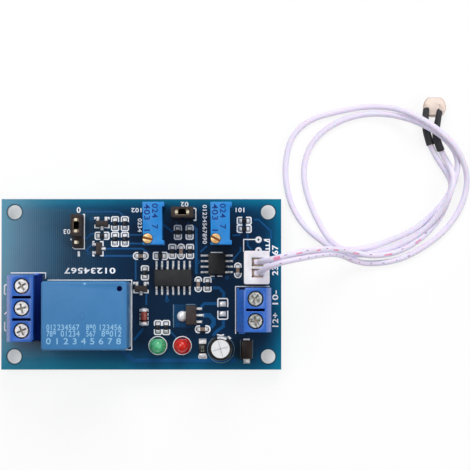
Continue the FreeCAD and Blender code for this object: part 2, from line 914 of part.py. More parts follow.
def tangent_path(points, report):
    """Straight runs joined by tangent arcs, each as large as its runs allow."""
    edges = []
    radii = []
    start = points[0]
    for before, corner, after in zip(points, points[1:], points[2:]):
        back = before - corner
        forth = after - corner
        turn = math.pi - back.getAngle(forth)
        tangent = 0.45 * min(back.Length, forth.Length)
        radius = tangent / math.tan(turn / 2)
        radii.append(radius)
        u = V(back).normalize()
        w = V(forth).normalize()
        first = corner + u * tangent
        last = corner + w * tangent
        inward = (u + w).normalize()
        to_centre = radius / math.cos(turn / 2)
        middle = corner + inward * (to_centre - radius)
        edges.append(Part.LineSegment(start, first).toShape())
        edges.append(Part.Arc(first, middle, last).toShape())
        start = last
    edges.append(Part.LineSegment(start, points[-1]).toShape())
    path = Part.Wire(edges)
    print(report, "length", round(path.Length, 1), "radii", [round(r, 1) for r in radii])
    return path


def ring_around(point, direction, diameter, sides=tube_sides):
    """A closed ring of corners on the given diameter, square to direction."""
    along = V(direction).normalize()
    across = along.cross(V(0.3, 0.2, 0.93)).normalize()
    other = along.cross(across)
    corners = []
    for k in range(sides):
        a = 2 * math.pi * k / sides
        corners.append(point + (across * math.cos(a) + other * math.sin(a)) * (diameter / 2))
    return polygon(corners)


def tube_along(points, diameter, report, sides=tube_sides):
    path = tangent_path(points, report)
    ring = ring_around(points[0], points[1] - points[0], diameter, sides)
    tube = path.makePipeShell([ring], True, False)
    expected = Part.Face(ring).Area * path.Length
    print(report, "volume over section times length", round(tube.Volume / expected, 4))
    return tube


# Routes of the two wires, from the crimps to the sleeves. The first and last
# two points of each come from the plug and from the sleeve.
wire_a_middle = [
    (26.8, 5.0, 14.2), (28.9, 5.5, 17.7), (32.9, 6.55, 19.0), (36.8, 7.4, 16.6),
    (40.6, 7.95, 12.0), (44.2, 7.85, 7.0), (48.2, 7.1, 3.3), (52.86, 6.19, 2.15),
    (59.39, 7.26, 0.74), (65.5, 10.72, 0.68), (69.64, 15.66, 0.7), (71.34, 20.97, 2.1),
    (73.11, 26.01, 2.25), (72.3, 30.15, 3.7), (68.37, 34.08, 4.2), (63.26, 37.0, 3.85),
    (57.71, 39.08, 1.6), (51.57, 39.39, 0.68), (45.59, 37.76, 0.68), (40.64, 34.49, 0.68),
    (37.88, 30.0, 0.68), (37.21, 24.71, 0.68), (38.8, 19.07, 0.68), (41.44, 13.55, 0.68),
    (45.01, 8.94, 0.68), (50.65, 8.14, 0.68), (57.09, 10.09, 0.68), (63.08, 12.69, 0.68),
    (67.96, 16.77, 0.68), (70.3, 21.26, 0.68), (69.3, 25.2, 0.68),
]
wire_b_middle = [
    (26.8, 2.5, 14.2), (28.9, 3.45, 17.6), (32.9, 4.8, 18.9), (36.8, 5.75, 16.5),
    (40.6, 6.35, 11.9), (43.9, 6.2, 6.9), (47.6, 5.3, 2.7), (52.49, 4.45, 0.68),
    (58.94, 5.38, 0.68), (64.69, 8.3, 0.68), (69.75, 12.51, 0.68), (73.44, 17.92, 0.68),
    (75.09, 23.79, 0.68), (74.58, 29.02, 1.8), (71.76, 32.92, 3.5), (67.68, 36.22, 4.75),
    (62.8, 38.69, 4.8), (57.48, 40.74, 1.8), (51.34, 40.98, 0.68), (44.9, 39.62, 0.68),
    (38.91, 37.65, 0.68), (34.88, 34.03, 0.68), (33.27, 29.08, 0.68), (33.23, 23.56, 0.68),
    (34.65, 18.03, 0.68), (37.76, 13.09, 0.68), (42.25, 9.56, 0.68), (46.74, 6.53, 0.68),
    (52.72, 6.76, 0.68), (58.71, 8.87, 0.68), (64.22, 11.54, 0.85), (68.71, 16.24, 2.0),
    (70.6, 21.36, 3.75), (71.3, 25.0, 2.3),
]
# Middle lines of the two sleeves, from the sensor legs to the wires
sleeve_a_route = [(65.2, 40.4, 3.35), (64.95, 38.0, 3.3), (65.15, 35.5, 1.75), (66.38, 32.74, 1.1)]
sleeve_b_route = [(68.5, 40.4, 3.35), (68.0, 37.9, 3.3), (67.9, 34.9, 1.7), (68.79, 31.47, 1.1)]


def make_sleeve(route):
    """A shrunk sleeve that widens from the sensor leg to the wire."""
    points = [V(*p) + lead_shift for p in route]
    steps = len(points) - 1
    growth = (sleeve_end_diameter - sleeve_start_diameter) / steps
    sections = []
    for k in range(steps + 1):
        along = points[min(k + 1, steps)] - points[max(k - 1, 0)]
        sections.append(ring_around(points[k], along, sleeve_start_diameter + growth * k))
    sleeve = stacked(sections)
    inward = (points[-2] - points[-1]).normalize()
    wire_end = points[-1] + inward * sleeve_wire_overlap
    bore = Part.makeCylinder(wire_diameter / 2 + clip_gap, sleeve_wire_overlap, points[-1], inward)
    sleeve = sleeve.cut(bore)
    leg_way = (points[1] - points[0]).normalize()
    leg_bore = Part.makeCylinder(sensor_leg_diameter / 2 + clip_gap, leg_bore_depth, points[0],
                                 leg_way)
    return sleeve.cut(leg_bore), wire_end, points[-1] - inward * sleeve_wire_lead, points[0], leg_way


def make_wires_and_sensor():
    start_z = board_top + crimp_top
    sleeves = []
    legs = []
    disc_back = disc_thickness / math.cos(math.radians(disc_tilt))
    lift = math.sin(math.radians(disc_tilt)) * disc_width / 2
    routes = [
        ("sensor_wire_a", sensor_pin_spread, wire_a_middle, sleeve_a_route),
        ("sensor_wire_b", -sensor_pin_spread, wire_b_middle, sleeve_b_route),
    ]
    for node, side, middle, sleeve_route in routes:
        sleeve, wire_end, before_end, mouth, leg_way = make_sleeve(sleeve_route)
        sleeves.append(sleeve)
        points = [V(sensor_pin_x, connector_y + side, start_z)]
        points += [V(*p) + lead_shift for p in middle]
        points += [before_end, wire_end]
        keep(node, tube_along(points, wire_diameter, node))
        x = mouth.x
        back_z = lift + disc_back - (leg_y - disc_y) * math.sin(math.radians(disc_tilt))
        foot = V(x, leg_y + lead_shift.y, back_z + leg_foot_gap)
        knee = V(x, leg_y + lead_shift.y, mouth.z)
        inside = mouth + leg_way * leg_insert
        legs.append(tube_along([foot, knee, mouth, inside], sensor_leg_diameter,
                               node + " leg", leg_sides))
    keep("sensor_sleeves", sleeves)
    keep("light_sensor_legs", legs)
    disc = rod(0, 0, 0, disc_thickness, disc_diameter)
    for side in (1, -1):
        slab = block(0, side * (disc_width / 2 + disc_diameter / 2), 0, 2 * disc_diameter,
                     disc_diameter, disc_thickness)
        disc = disc.cut(slab)
    rims = edges_at_height(disc, 0.0) + edges_at_height(disc, disc_thickness)
    disc = disc.makeChamfer(disc_edge, rims)
    disc.rotate(V(0, 0, 0), V(1, 0, 0), -disc_tilt)
    disc.translate(V(disc_x, disc_y, lift) + lead_shift)
    keep("light_sensor_disc", disc)


def make_board():
    board = box(-board_length / 2, board_length / 2, -board_width / 2, board_width / 2,
                board_underside, board_top)
    holes = []
    joints = []
    for side_x in (1, -1):
        for side_y in (1, -1):
            x = side_x * (board_length / 2 - mount_inset)
            y = side_y * (board_width / 2 - mount_inset)
            holes.append(rod(x, y, board_underside, board_top, mount_hole_diameter))
    for x, y in free_hole_places:
        x += field_shift
        holes.append(rod(x, y, board_underside, board_top, plated_hole_diameter))
    for x, y, dx, dy in through_leads:
        holes.append(block(x, y, board_underside, dx + 2 * hole_clearance,
                           dy + 2 * hole_clearance, board_thickness))
        low = board_underside - solder_height
        tip = max(dx, dy) + solder_tip
        foot = max(dx, dy) + solder_foot
        joint = stacked([ring_of_corners(x, y, low, tip, solder_sides),
                         ring_of_corners(x, y, board_underside, foot, solder_sides)])
        joints.append(joint.cut(block(x, y, low, dx, dy, solder_height)))
    keep("circuit_board", board.cut(Part.makeCompound(holes)))
    keep("solder_joints", joints + wedges)


os.makedirs("parts", exist_ok=True)
make_relay()
make_terminal("output", output_poles, output_terminal_x, output_terminal_y, 180)
make_terminal("power", power_poles, power_terminal_x, power_terminal_y, 0)
keep("trimmer_pins", make_trimmer("time", time_trimmer_x + field_shift)
     + make_trimmer("sensitivity", sensitivity_trimmer_x + field_shift))
keep("header_pins", make_header("mode", mode_header_x, mode_header_y, mode_header_pins, -90,
                                pin_pitch / 2)
     + make_header("delay", delay_header_x, delay_header_y, delay_header_pins, 0, 0.0))
make_connector()
row_chip("timer", timer_x + field_shift, timer_y, timer_length, timer_lead_count, 0)
row_chip("comparator", comparator_x + field_shift, comparator_y, comparator_length,
         comparator_lead_count, 90)
make_regulator()
make_transistors()
make_two_ended_parts()
make_input_diode()
keep("led_and_capacitor_leads", make_led("green_led_lens", green_led_x + field_shift)
     + make_led("red_led_lens", red_led_x + field_shift) + make_capacitor())
make_wires_and_sensor()
make_board()

for node, shape in nodes.items():
    shape.exportStep("parts/" + node + ".step")
print(len(nodes), "nodes")
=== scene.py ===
import json
import math
import random

import bmesh
import bpy
from mathutils import Matrix, Vector


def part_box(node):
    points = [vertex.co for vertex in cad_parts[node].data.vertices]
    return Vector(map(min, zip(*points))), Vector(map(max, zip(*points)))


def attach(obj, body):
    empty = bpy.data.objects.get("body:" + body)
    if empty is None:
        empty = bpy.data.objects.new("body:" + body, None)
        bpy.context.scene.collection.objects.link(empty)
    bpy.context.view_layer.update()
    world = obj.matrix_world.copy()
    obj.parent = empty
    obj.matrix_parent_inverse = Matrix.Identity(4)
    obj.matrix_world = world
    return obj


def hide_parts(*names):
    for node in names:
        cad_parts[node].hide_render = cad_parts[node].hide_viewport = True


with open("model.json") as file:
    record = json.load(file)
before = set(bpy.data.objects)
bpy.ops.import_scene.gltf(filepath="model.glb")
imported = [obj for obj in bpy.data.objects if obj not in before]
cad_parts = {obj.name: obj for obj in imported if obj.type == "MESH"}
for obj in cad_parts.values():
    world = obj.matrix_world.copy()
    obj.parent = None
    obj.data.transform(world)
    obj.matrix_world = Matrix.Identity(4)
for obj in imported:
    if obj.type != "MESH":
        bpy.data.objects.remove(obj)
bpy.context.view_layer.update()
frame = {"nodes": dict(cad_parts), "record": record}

# Light sensor module. Lists of places and sizes are in millimetres, in the
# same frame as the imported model, and mm() turns them into metres.
MM = 0.001
PER_METRE = 1000
scene = bpy.context.scene
board_top = 3.6
UP = Vector((0, 0, 1))


def mm(x, y, z):
    return Vector((x * MM, y * MM, z * MM))


def srgb(r, g, b):
    """A colour as it looks on a screen, 0 to 255, in linear values."""
    values = []
    for c in (r, g, b):
        c /= 255
        values.append(c / 12.92 if c <= 0.04045 else ((c + 0.055) / 1.055) ** 2.4)
    return (*values, 1.0)


def placed(name, data):
    """An object in the scene that holds the data."""
    piece = bpy.data.objects.new(name, data)
    scene.collection.objects.link(piece)
    return piece


# Camera
camera_place = mm(21.42, -0.4, 503.6)
camera_tilt = math.radians(1.337)
camera_lens = 167.4

camera_data = bpy.data.cameras.new("camera")
camera_data.lens = camera_lens
camera_data.sensor_width = 36
camera_data.clip_start = 0.01
camera = placed("camera", camera_data)
camera.location = camera_place
camera.rotation_euler = (camera_tilt, 0, 0)
scene.camera = camera
scene.view_settings.view_transform = "Standard"


# Node groups shared by the materials
def new_group(name, inputs, outputs):
    """An empty shader node group with float sockets, and its two end nodes."""
    group = bpy.data.node_groups.new(name, "ShaderNodeTree")
    for label, value in inputs:
        socket = group.interface.new_socket(label, in_out="INPUT", socket_type="NodeSocketFloat")
        socket.default_value = value
    for label in outputs:
        group.interface.new_socket(label, in_out="OUTPUT", socket_type="NodeSocketFloat")
    start = group.nodes.new("NodeGroupInput")
    end = group.nodes.new("NodeGroupOutput")
    return group, start, end


def feed(tree, pairs):
    """Gives each input socket a number or a colour, or links a socket to it."""
    for socket, value in pairs:
        if isinstance(value, (int, float, tuple)):
            socket.default_value = value
        else:
            tree.links.new(value, socket)


def add_math(tree, operation, a, b):
    """A Math node whose inputs are sockets or numbers; gives its output."""
    node = tree.nodes.new("ShaderNodeMath")
    node.operation = operation
    feed(tree, zip(node.inputs, (a, b)))
    return node.outputs[0]


def product(tree, a, b):
    return add_math(tree, "MULTIPLY", a, b)


def difference(tree, a, b):
    return add_math(tree, "SUBTRACT", a, b)


def set_inputs(tree, node, **values):
    """Feeds inputs by their labels, with _ for each space."""
    feed(tree, [(node.inputs[label.replace("_", " ")], value) for label, value in values.items()])


def object_place(tree):
    """Coordinates in the frame of the object itself, in metres."""
    return tree.nodes.new("ShaderNodeTexCoord").outputs["Object"]


def components(tree, vector):
    """The X, Y and Z sockets of a vector socket."""
    node = tree.nodes.new("ShaderNodeSeparateXYZ")
    tree.links.new(vector, node.inputs[0])
    return node.outputs


def add_texture(group, start, label, vector, kind="Noise", **values):
    """A texture that repeats as often per mm as the labelled input says."""
    node = group.nodes.new("ShaderNodeTex" + kind)
    scale = product(group, start.outputs[label], PER_METRE)
    set_inputs(group, node, Vector=vector, Scale=scale, **values)
    return node


def moulded_grain_group():
    """Fine grain of a moulded or coated surface: a slow mottle and a height."""
    group, start, end = new_group(
        "moulded grain", [("Grain per mm", 4.0), ("Mottle per mm", 0.4)], ["Mottle", "Height"])
    place = object_place(group)
    for label, detail, out in (("Mottle per mm", 3.0, "Mottle"), ("Grain per mm", 2.0, "Height")):
        noise = add_texture(group, start, label, place, Detail=detail)
        group.links.new(noise.outputs["Fac"], end.inputs[out])
    return group


def drawn_streak_group():
    """Fine streaks along Y, as on drawn, turned or plated metal."""
    group, start, end = new_group("drawn streaks", [("Streaks per mm", 8.0)], ["Streak", "Height"])
    place = object_place(group)
    stretch = group.nodes.new("ShaderNodeMapping")
    set_inputs(group, stretch, Vector=place, Scale=(1.0, 0.12, 0.5))
    noise = add_texture(group, start, "Streaks per mm", stretch.outputs["Vector"], Detail=4.0)
    for out in ("Streak", "Height"):
        group.links.new(noise.outputs["Fac"], end.inputs[out])
    return group


def dust_group():
    """Sparse pale specks; gives a mask of 0 to 1."""
    group, start, end = new_group("dust", [("Specks per mm", 3.0), ("Amount", 0.3)], ["Mask"])
    cells = add_texture(group, start, "Specks per mm", object_place(group), "Voronoi")
    speck_radius = 0.12
    near = add_math(group, "LESS_THAN", cells.outputs["Distance"], speck_radius)
    group.links.new(product(group, near, start.outputs["Amount"]), end.inputs["Mask"])
    return group


moulded_grain = moulded_grain_group()
drawn_streaks = drawn_streak_group()
dust = dust_group()


# Materials
def blank_material(name):
    material = bpy.data.materials.new(name)
    material.use_nodes = True
    shader = material.node_tree.nodes["Principled BSDF"]
    return material, material.node_tree, shader


def use_group(tree, group, **values):
    node = tree.nodes.new("ShaderNodeGroup")
    node.node_tree = group
    set_inputs(tree, node, **values)
    return node


def mixed(tree, factor, a, b):
    """Colour a to colour b by a factor socket or number."""
    node = tree.nodes.new("ShaderNodeMix")
    node.data_type = "RGBA"
    sockets = (node.inputs["Factor"], node.inputs[6], node.inputs[7])
    feed(tree, zip(sockets, (factor, a, b)))
    return node.outputs[2]


def spread(tree, value, low, high):
    """A 0.3 to 0.7 noise value stretched to low..high."""
    node = tree.nodes.new("ShaderNodeMapRange")
    set_inputs(tree, node, Value=value, From_Min=0.3, From_Max=0.7, To_Min=low, To_Max=high)
    return node.outputs["Result"]


relief_depth = 0.02
speck_colour = srgb(215, 215, 218)


def bump(tree, shader, height, strength):
    """Shallow relief from a height socket."""
    node = tree.nodes.new("ShaderNodeBump")
    set_inputs(tree, node, Strength=strength, Distance=relief_depth * MM, Height=height)
    set_inputs(tree, shader, Normal=node.outputs["Normal"])


def moulding(name, colour, other, rough, grain=5.0, mottle=0.4, relief=0.25, specks=0.0,
             shine=0.25, **plain):
    """A moulded, glazed or painted surface that drifts between two colours."""
    material, tree, shader = blank_material(name)
    grains = use_group(tree, moulded_grain, Grain_per_mm=grain, Mottle_per_mm=mottle)
    blend = spread(tree, grains.outputs["Mottle"], 0.0, 1.0)
    shade = mixed(tree, blend, srgb(*colour), srgb(*other))
    if specks:
        mask = use_group(tree, dust, Specks_per_mm=2.5, Amount=specks)
        shade = mixed(tree, mask.outputs["Mask"], shade, speck_colour)
    roughness = spread(tree, grains.outputs["Height"], rough - 0.06, rough + 0.06)
    bump(tree, shader, grains.outputs["Height"], relief)
    set_inputs(tree, shader, Base_Color=shade, Roughness=roughness, Specular_IOR_Level=shine,
               **plain)
    return material


def metal(name, colour, other, rough, streaks=8.0, relief=0.3, shine=0.75):
    """Plated or drawn metal; a lower shine leaves more of a matt oxide look."""
    material, tree, shader = blank_material(name)
    lines = use_group(tree, drawn_streaks, Streaks_per_mm=streaks)
    blend = spread(tree, lines.outputs["Streak"], 0.0, 1.0)
    shade = mixed(tree, blend, srgb(*colour), srgb(*other))
    roughness = spread(tree, lines.outputs["Streak"], rough - 0.08, rough + 0.12)
    bump(tree, shader, lines.outputs["Height"], relief)
    set_inputs(tree, shader, Base_Color=shade, Roughness=roughness, Metallic=shine)
    return material


def add_ramp(tree, value, stops):
    """A colour ramp from 0 to 1 with place, colour pairs."""
    ramp = tree.nodes.new("ShaderNodeValToRGB")
    set_inputs(tree, ramp, Fac=value)
    elements = ramp.color_ramp.elements
    elements[0].color = stops[0][1]
    elements[1].color = stops[-1][1]
    for place, colour in stops[1:-1]:
        elements.new(place).color = colour
    return ramp.outputs["Color"]


def stepped(tree, value, stops):
    """A value followed along straight pieces between place, level pairs."""
    low = stops[0][0]
    reach = stops[-1][0] - low
    share = add_math(tree, "DIVIDE", difference(tree, value, low), reach)
    greys = [((place - low) / reach, (level, level, level, 1)) for place, level in stops]
    return add_ramp(tree, share, greys)


def solder_mask():
    """Navy over copper in the middle, teal over bare laminate near the edges."""
    material, tree, shader = blank_material("solder mask")
    place = object_place(tree)
    x, y = [product(tree, socket, PER_METRE) for socket in components(tree, place)[:2]]
    across = stepped(tree, x, [
        (-32.0, 1.0), (-30.0, 0.9), (-25.5, 0.68), (-21.0, 0.6), (-17.0, 0.36), (-9.5, 0.2),
        (0.0, 0.04), (21.0, 0.04), (24.0, 0.08), (27.5, 0.22), (30.0, 0.58), (30.9, 0.78),
        (32.0, 0.88)])
    up = stepped(tree, y, [
        (-19.5, 0.8), (-18.3, 0.67), (-17.0, 0.54), (-15.4, 0.34), (-12.0, 0.08), (13.0, 0.03),
        (16.6, 0.34), (18.4, 0.78), (19.5, 0.92)])
    plain = product(tree, difference(tree, 1.0, across), difference(tree, 1.0, up))
    # Below the relay there is no copper at all; the teal there is also painted lighter, a painted
    # light that offsets the relay's shadow.
    beside = stepped(tree, x, [(-32.0, 1.0), (-5.0, 1.0), (-1.0, 0.0), (32.0, 0.0)])
    below = stepped(tree, y, [
        (-19.5, 0.95), (-18.7, 0.9), (-17.3, 0.62), (-15.3, 0.4), (-15.1, 0.0), (19.5, 0.0)])
    bare = product(tree, beside, below)
    plain = product(tree, plain, difference(tree, 1.0, bare))
    grains = use_group(tree, moulded_grain, Grain_per_mm=6.0, Mottle_per_mm=0.12)
    drift = spread(tree, grains.outputs["Mottle"], -0.025, 0.025)
    share = add_math(tree, "ADD", difference(tree, 1.0, plain), drift)
    colour = add_ramp(tree, share, [
        (0.0, srgb(4, 30, 57)), (0.35, srgb(3, 50, 82)), (0.65, srgb(3, 74, 110)),
        (0.82, srgb(3, 92, 128)), (1.0, srgb(8, 122, 152))])
    # The weave of the laminate shows as fine upright lines where no copper is; drawn pale and only
    # on the left, where the sheen falls, they are partly a painted sheen.
    weave = tree.nodes.new("ShaderNodeTexWave")
    set_inputs(tree, weave, Vector=place, Scale=720.0, Distortion=1.2)
    left = tree.nodes.new("ShaderNodeMapRange")
    set_inputs(tree, left, Value=x, From_Min=-6.0, From_Max=-22.0)
    inner = add_math(tree, "LESS_THAN", up, 0.5)
    weave_and_sheen_strength = 0.42
    amount = product(tree, product(tree, left.outputs["Result"], inner), weave_and_sheen_strength)
    lines = product(tree, weave.outputs["Fac"], amount)
    shade = mixed(tree, lines, colour, srgb(70, 112, 128))
    roughness = spread(tree, grains.outputs["Height"], 0.09, 0.14)
    bump(tree, shader, grains.outputs["Height"], 0.05)
    set_inputs(tree, shader, Base_Color=shade, Roughness=roughness, Specular_IOR_Level=0.5)
    return material


# Each finish: a name, two colours as on a screen, roughness and further settings
finish = {
    "mask": solder_mask(),
    "copper": moulding("mask over copper", (10, 74, 126), (16, 82, 134), 0.25, relief=0.08),
    "copper_area": moulding("mask over a copper area", (8, 56, 94), (12, 64, 104), 0.25,
                            relief=0.08),
    "rim": moulding("mask round a hole", (4, 56, 76), (6, 64, 86), 0.3, relief=0.08),
    "print": moulding("white print", (252, 253, 255), (244, 246, 250), 0.55, mottle=2.0),
    "dim_print": moulding("thin print", (112, 140, 156), (92, 120, 138), 0.5, mottle=2.0),
    "pale_print": moulding("pale print", (150, 196, 228), (134, 184, 220), 0.5, mottle=2.0),
    "grey_print": moulding("grey print", (166, 172, 158), (140, 148, 138), 0.5, mottle=2.0),
    "dark_print": moulding("dark print", (10, 48, 120), (16, 58, 132), 0.5, mottle=2.0),
    "relay": moulding("relay cover", (62, 121, 174), (66, 125, 178), 0.4, grain=3.0, relief=0.1,
                      shine=0.2),
    "relay_oval": moulding("moulding mark", (50, 104, 156), (56, 110, 162), 0.4),
    "relay_seal": moulding("relay seal resin", (206, 214, 220), (170, 186, 196), 0.25, mottle=1.2),
    "terminal": moulding("terminal polyamide", (44, 100, 192), (52, 108, 198), 0.3, shine=0.5),
    "terminal_painted_shade": moulding("shaded polyamide", (16, 38, 110), (20, 44, 120), 0.4, shine=0.2),
    "recess_painted_shade": moulding("shaded slot", (6, 8, 44), (14, 16, 58), 0.8, shine=0.0),
    "trimmer": moulding("trimmer body", (36, 128, 206), (48, 140, 216), 0.4, relief=0.2),
    "black": moulding("black moulding", (42, 35, 34), (54, 46, 44), 0.55, specks=0.12),
    "epoxy": moulding("chip epoxy", (34, 35, 37), (44, 45, 47), 0.5, grain=9.0, relief=0.5,
                      specks=0.12),
    "brown_epoxy": moulding("small chip epoxy", (50, 44, 44), (66, 56, 54), 0.45, grain=9.0,
                            relief=0.5, specks=0.15),
    "dark_epoxy": moulding("diode epoxy", (38, 30, 28), (52, 42, 36), 0.45, grain=9.0, relief=0.5,
                           specks=0.08),
    "nylon": moulding("white nylon", (241, 239, 243), (232, 229, 238), 0.4, Subsurface_Weight=0.15,
                      Subsurface_Scale=0.0006),
    "sheath": moulding("wire sheath", (230, 223, 245), (235, 228, 247), 0.45, grain=2.0,
                       mottle=0.08, relief=0.05, Subsurface_Weight=0.2, Subsurface_Scale=0.0006),
    "red_mark": moulding("red mark", (240, 158, 190), (234, 142, 180), 0.5, mottle=3.0),
    "violet_mark": moulding("violet mark", (178, 148, 190), (162, 134, 178), 0.5, mottle=3.0),
    "sleeve": moulding("shrunk sleeve", (48, 49, 54), (58, 58, 62), 0.5, grain=3.0),
    "can_sleeve": moulding("capacitor sleeve", (14, 15, 17), (20, 21, 23), 0.35, grain=2.0,
                           relief=0.1),
    "disc": moulding("sensor ceramic", (232, 214, 208), (244, 226, 212), 0.35, mottle=0.5,
                     Coat_Weight=0.5, Coat_Roughness=0.1),
    "disc_rim": moulding("sensor edge coat", (216, 190, 176), (200, 180, 170), 0.25, mottle=0.6,
                         Coat_Weight=0.6, Coat_Roughness=0.08),
    "chip_glaze": moulding("resistor glaze", (26, 28, 34), (40, 40, 44), 0.3, relief=0.1),
    "ceramic": moulding("fired ceramic", (158, 132, 116), (104, 92, 84), 0.45, mottle=0.9),
    "glass": moulding("diode glass", (132, 50, 38), (170, 80, 60), 0.12, mottle=1.4, relief=0.05,
                      Coat_Weight=1.0, Coat_Roughness=0.03),
    "dark_band": moulding("dark band", (26, 18, 18), (36, 26, 26), 0.35),
    "green_lens": moulding("green lens", (52, 168, 104), (112, 206, 158), 0.16, mottle=0.9,
                           relief=0.05, Coat_Weight=0.4, Coat_Roughness=0.06,
                           Subsurface_Weight=0.3, Subsurface_Scale=0.001),
    "red_lens": moulding("red lens", (196, 16, 20), (226, 56, 42), 0.16, mottle=0.9, relief=0.05,
                         Coat_Weight=0.4, Coat_Roughness=0.06, Subsurface_Weight=0.3,
                         Subsurface_Scale=0.001),
    "stripe": moulding("sleeve stripe", (202, 204, 208), (222, 223, 226), 0.4),
    "tin": metal("tinned lead", (252, 252, 253), (226, 228, 231), 0.3, streaks=5.0, shine=0.22),
    "leg": metal("dull tinned wire", (232, 218, 206), (206, 192, 182), 0.4, streaks=5.0, shine=0.4),
    "solder": metal("solder", (254, 254, 255), (232, 233, 236), 0.24, streaks=3.0, relief=0.5,
                    shine=0.15),
    "pad": metal("tinned pad", (214, 217, 220), (160, 165, 170), 0.38, streaks=2.0, shine=0.5),
    "gold": metal("gold strip", (246, 236, 216), (206, 188, 156), 0.32, streaks=6.0, shine=0.4),
    "clip": moulding("contact clip", (214, 196, 176), (96, 70, 50), 0.35, mottle=1.5, relief=0.3,
                     Metallic=0.5),
    "chip_lead": moulding("plated chip lead", (254, 254, 255), (84, 88, 98), 0.28, mottle=1.4,
                          relief=0.4, Metallic=0.15),
    "brass": metal("turned brass", (236, 190, 124), (204, 146, 84), 0.3, streaks=5.0),
    "chrome": moulding("plated screw", (252, 252, 253), (196, 190, 194), 0.28, mottle=1.7,
                       relief=0.6, Metallic=0.3),
    # A darker copy of the plated screw finish, painted dim for the dark surroundings these heads
    # reflect.
    "screw_painted_dim": moulding("screw plating, painted dimmer", (240, 243, 243), (112, 116, 112), 0.3, mottle=1.7,
                          relief=0.8, Metallic=0.35),
    "bright_brass": moulding("bright brass", (250, 222, 172), (238, 176, 104), 0.28, mottle=1.3,
                             relief=0.5, shine=0.5, Metallic=0.35),
    "brass_slot": moulding("shaded brass", (150, 96, 44), (120, 74, 34), 0.5),
    "hole_painted_shade": moulding("shaded hole", (58, 66, 50), (80, 84, 64), 0.7),
    "slot_darkening": moulding("darker slot", (150, 144, 132), (206, 202, 194), 0.6, mottle=2.5),
    "can": metal("drawn aluminium", (244, 245, 247), (228, 230, 233), 0.45, streaks=3.0,
                 shine=0.35),
    "crimp": moulding("crimp", (196, 172, 152), (150, 124, 104), 0.5, mottle=1.5),
}

slot_finish = {
    "board_blue": "mask", "solder": "solder", "relay_blue": "relay", "black_plastic": "black",
    "tinned_pin": "tin", "terminal_blue": "terminal", "brass": "brass", "trimmer_blue": "trimmer",
    "gold_strip": "gold", "white_nylon": "nylon", "wire_sheath": "sheath", "black_sleeve": "sleeve",
    "sensor_coat": "disc", "chip_black": "epoxy", "diode_glass": "glass",
    "green_lens": "green_lens", "red_lens": "red_lens", "can_aluminium": "can",
    "resistor_black": "chip_glaze", "capacitor_beige": "ceramic", "plated_steel": "chrome",
}
node_slot = {part["node"]: part["material_slot"] for part in frame["record"]["subparts"]}
for node, piece in frame["nodes"].items():
    piece.data.materials.clear()
    piece.data.materials.append(finish[slot_finish[node_slot[node]]])
own_finish = {
    "light_sensor_legs": "leg", "mode_jumper_clip": "clip", "delay_jumper_clip": "clip",
    "timer_chip_leads": "chip_lead", "comparator_chip_leads": "chip_lead",
}
for node, name in own_finish.items():
    frame["nodes"][node].data.materials[0] = finish[name]


# Mesh tools
sharp_angle = math.radians(28)


def top_of(node):
    """The height of a solid's top, in millimetres."""
    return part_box(node)[1].z / MM


def foot_of(node):
    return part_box(node)[0].z / MM


def kept(name, form, material, body="board", smooth=None):
    """The bmesh becomes a piece that rides on a body of the frame."""
    mesh = bpy.data.meshes.new(name)
    form.to_mesh(mesh)
    form.free()
    mesh.materials.append(finish[material])
    if smooth is not None:
        for face in mesh.polygons:
            face.use_smooth = True
        mesh.set_sharp_from_angle(angle=math.radians(smooth))
    piece = placed(name, mesh)
    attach(piece, body)
    return piece


def softened(node, material, round_mm, body="board", name=None):
    """Stands for a solid, with every sharp edge slightly rounded."""
    form = bmesh.new()
    form.from_mesh(frame["nodes"][node].data)
    bmesh.ops.remove_doubles(form, verts=form.verts, dist=1e-7)
    bmesh.ops.dissolve_limit(form, angle_limit=math.radians(1), verts=form.verts, edges=form.edges)
    sharp = [edge for edge in form.edges if edge.calc_face_angle(0) > sharp_angle]
    bmesh.ops.bevel(form, geom=sharp, offset=round_mm * MM, segments=2, profile=0.5,
                    affect="EDGES", clamp_overlap=True)
    piece = kept(name or "soft_" + node, form, material, body, smooth=35)
    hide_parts(node)
    return piece


def paint_faces(piece, material, chosen):
    """Gives a second finish to the faces that the test picks."""
    piece.data.materials.append(finish[material])
    for face in piece.data.polygons:
        if chosen(face):
            face.material_index = 1


def join_rings(form, one, two):
    """A band of faces between two rings of as many vertices."""
    count = len(one)
    for k in range(count):
        j = (k + 1) % count
        form.faces.new((one[k], one[j], two[j], two[k]))


def add_ring_rows(form, rows, closed_ends=True):
    """A skin over rings of as many points each, with or without end caps."""
    made = [[form.verts.new(p) for p in row] for row in rows]
    for below, above in zip(made, made[1:]):
        join_rings(form, below, above)
    if closed_ends:
        form.faces.new(list(reversed(made[0])))
        form.faces.new(made[-1])


def circle(radius, sides):
    """Points round the origin, as x, y pairs."""
    turns = [2 * math.pi * k / sides for k in range(sides)]
    return [(radius * math.cos(a), radius * math.sin(a)) for a in turns]


def level_rings(x, y, profile, sides, stretch=(1, 1)):
    """Level rings round an upright axis, from radius, height pairs."""
    ring = circle(1, sides)
    return [[mm(x + radius * stretch[0] * u, y + radius * stretch[1] * v, height) for u, v in ring]
            for radius, height in profile]


def add_turned(form, x, y, profile, sides=32, stretch=(1, 1)):
    """A turned form about an upright axis, from radius, height pairs."""
    add_ring_rows(form, level_rings(x, y, profile, sides, stretch))


def add_blob(form, x, y, z, rx, ry, height, sides=12):
    """A low rounded bead of solder."""
    profile = [(1.0, z)]
    for k in range(1, 4):
        a = math.pi / 2 * k / 4
        profile.append((math.cos(a), z + height * math.sin(a)))
    profile.append((0.12, z + height))
    add_turned(form, x, y, profile, sides, (rx, ry))


def add_box(form, x0, x1, y0, y1, z0, z1):
    corners = [(x0, y0), (x1, y0), (x1, y1), (x0, y1)]
    add_ring_rows(form, [[mm(x, y, z) for x, y in corners] for z in (z0, z1)])


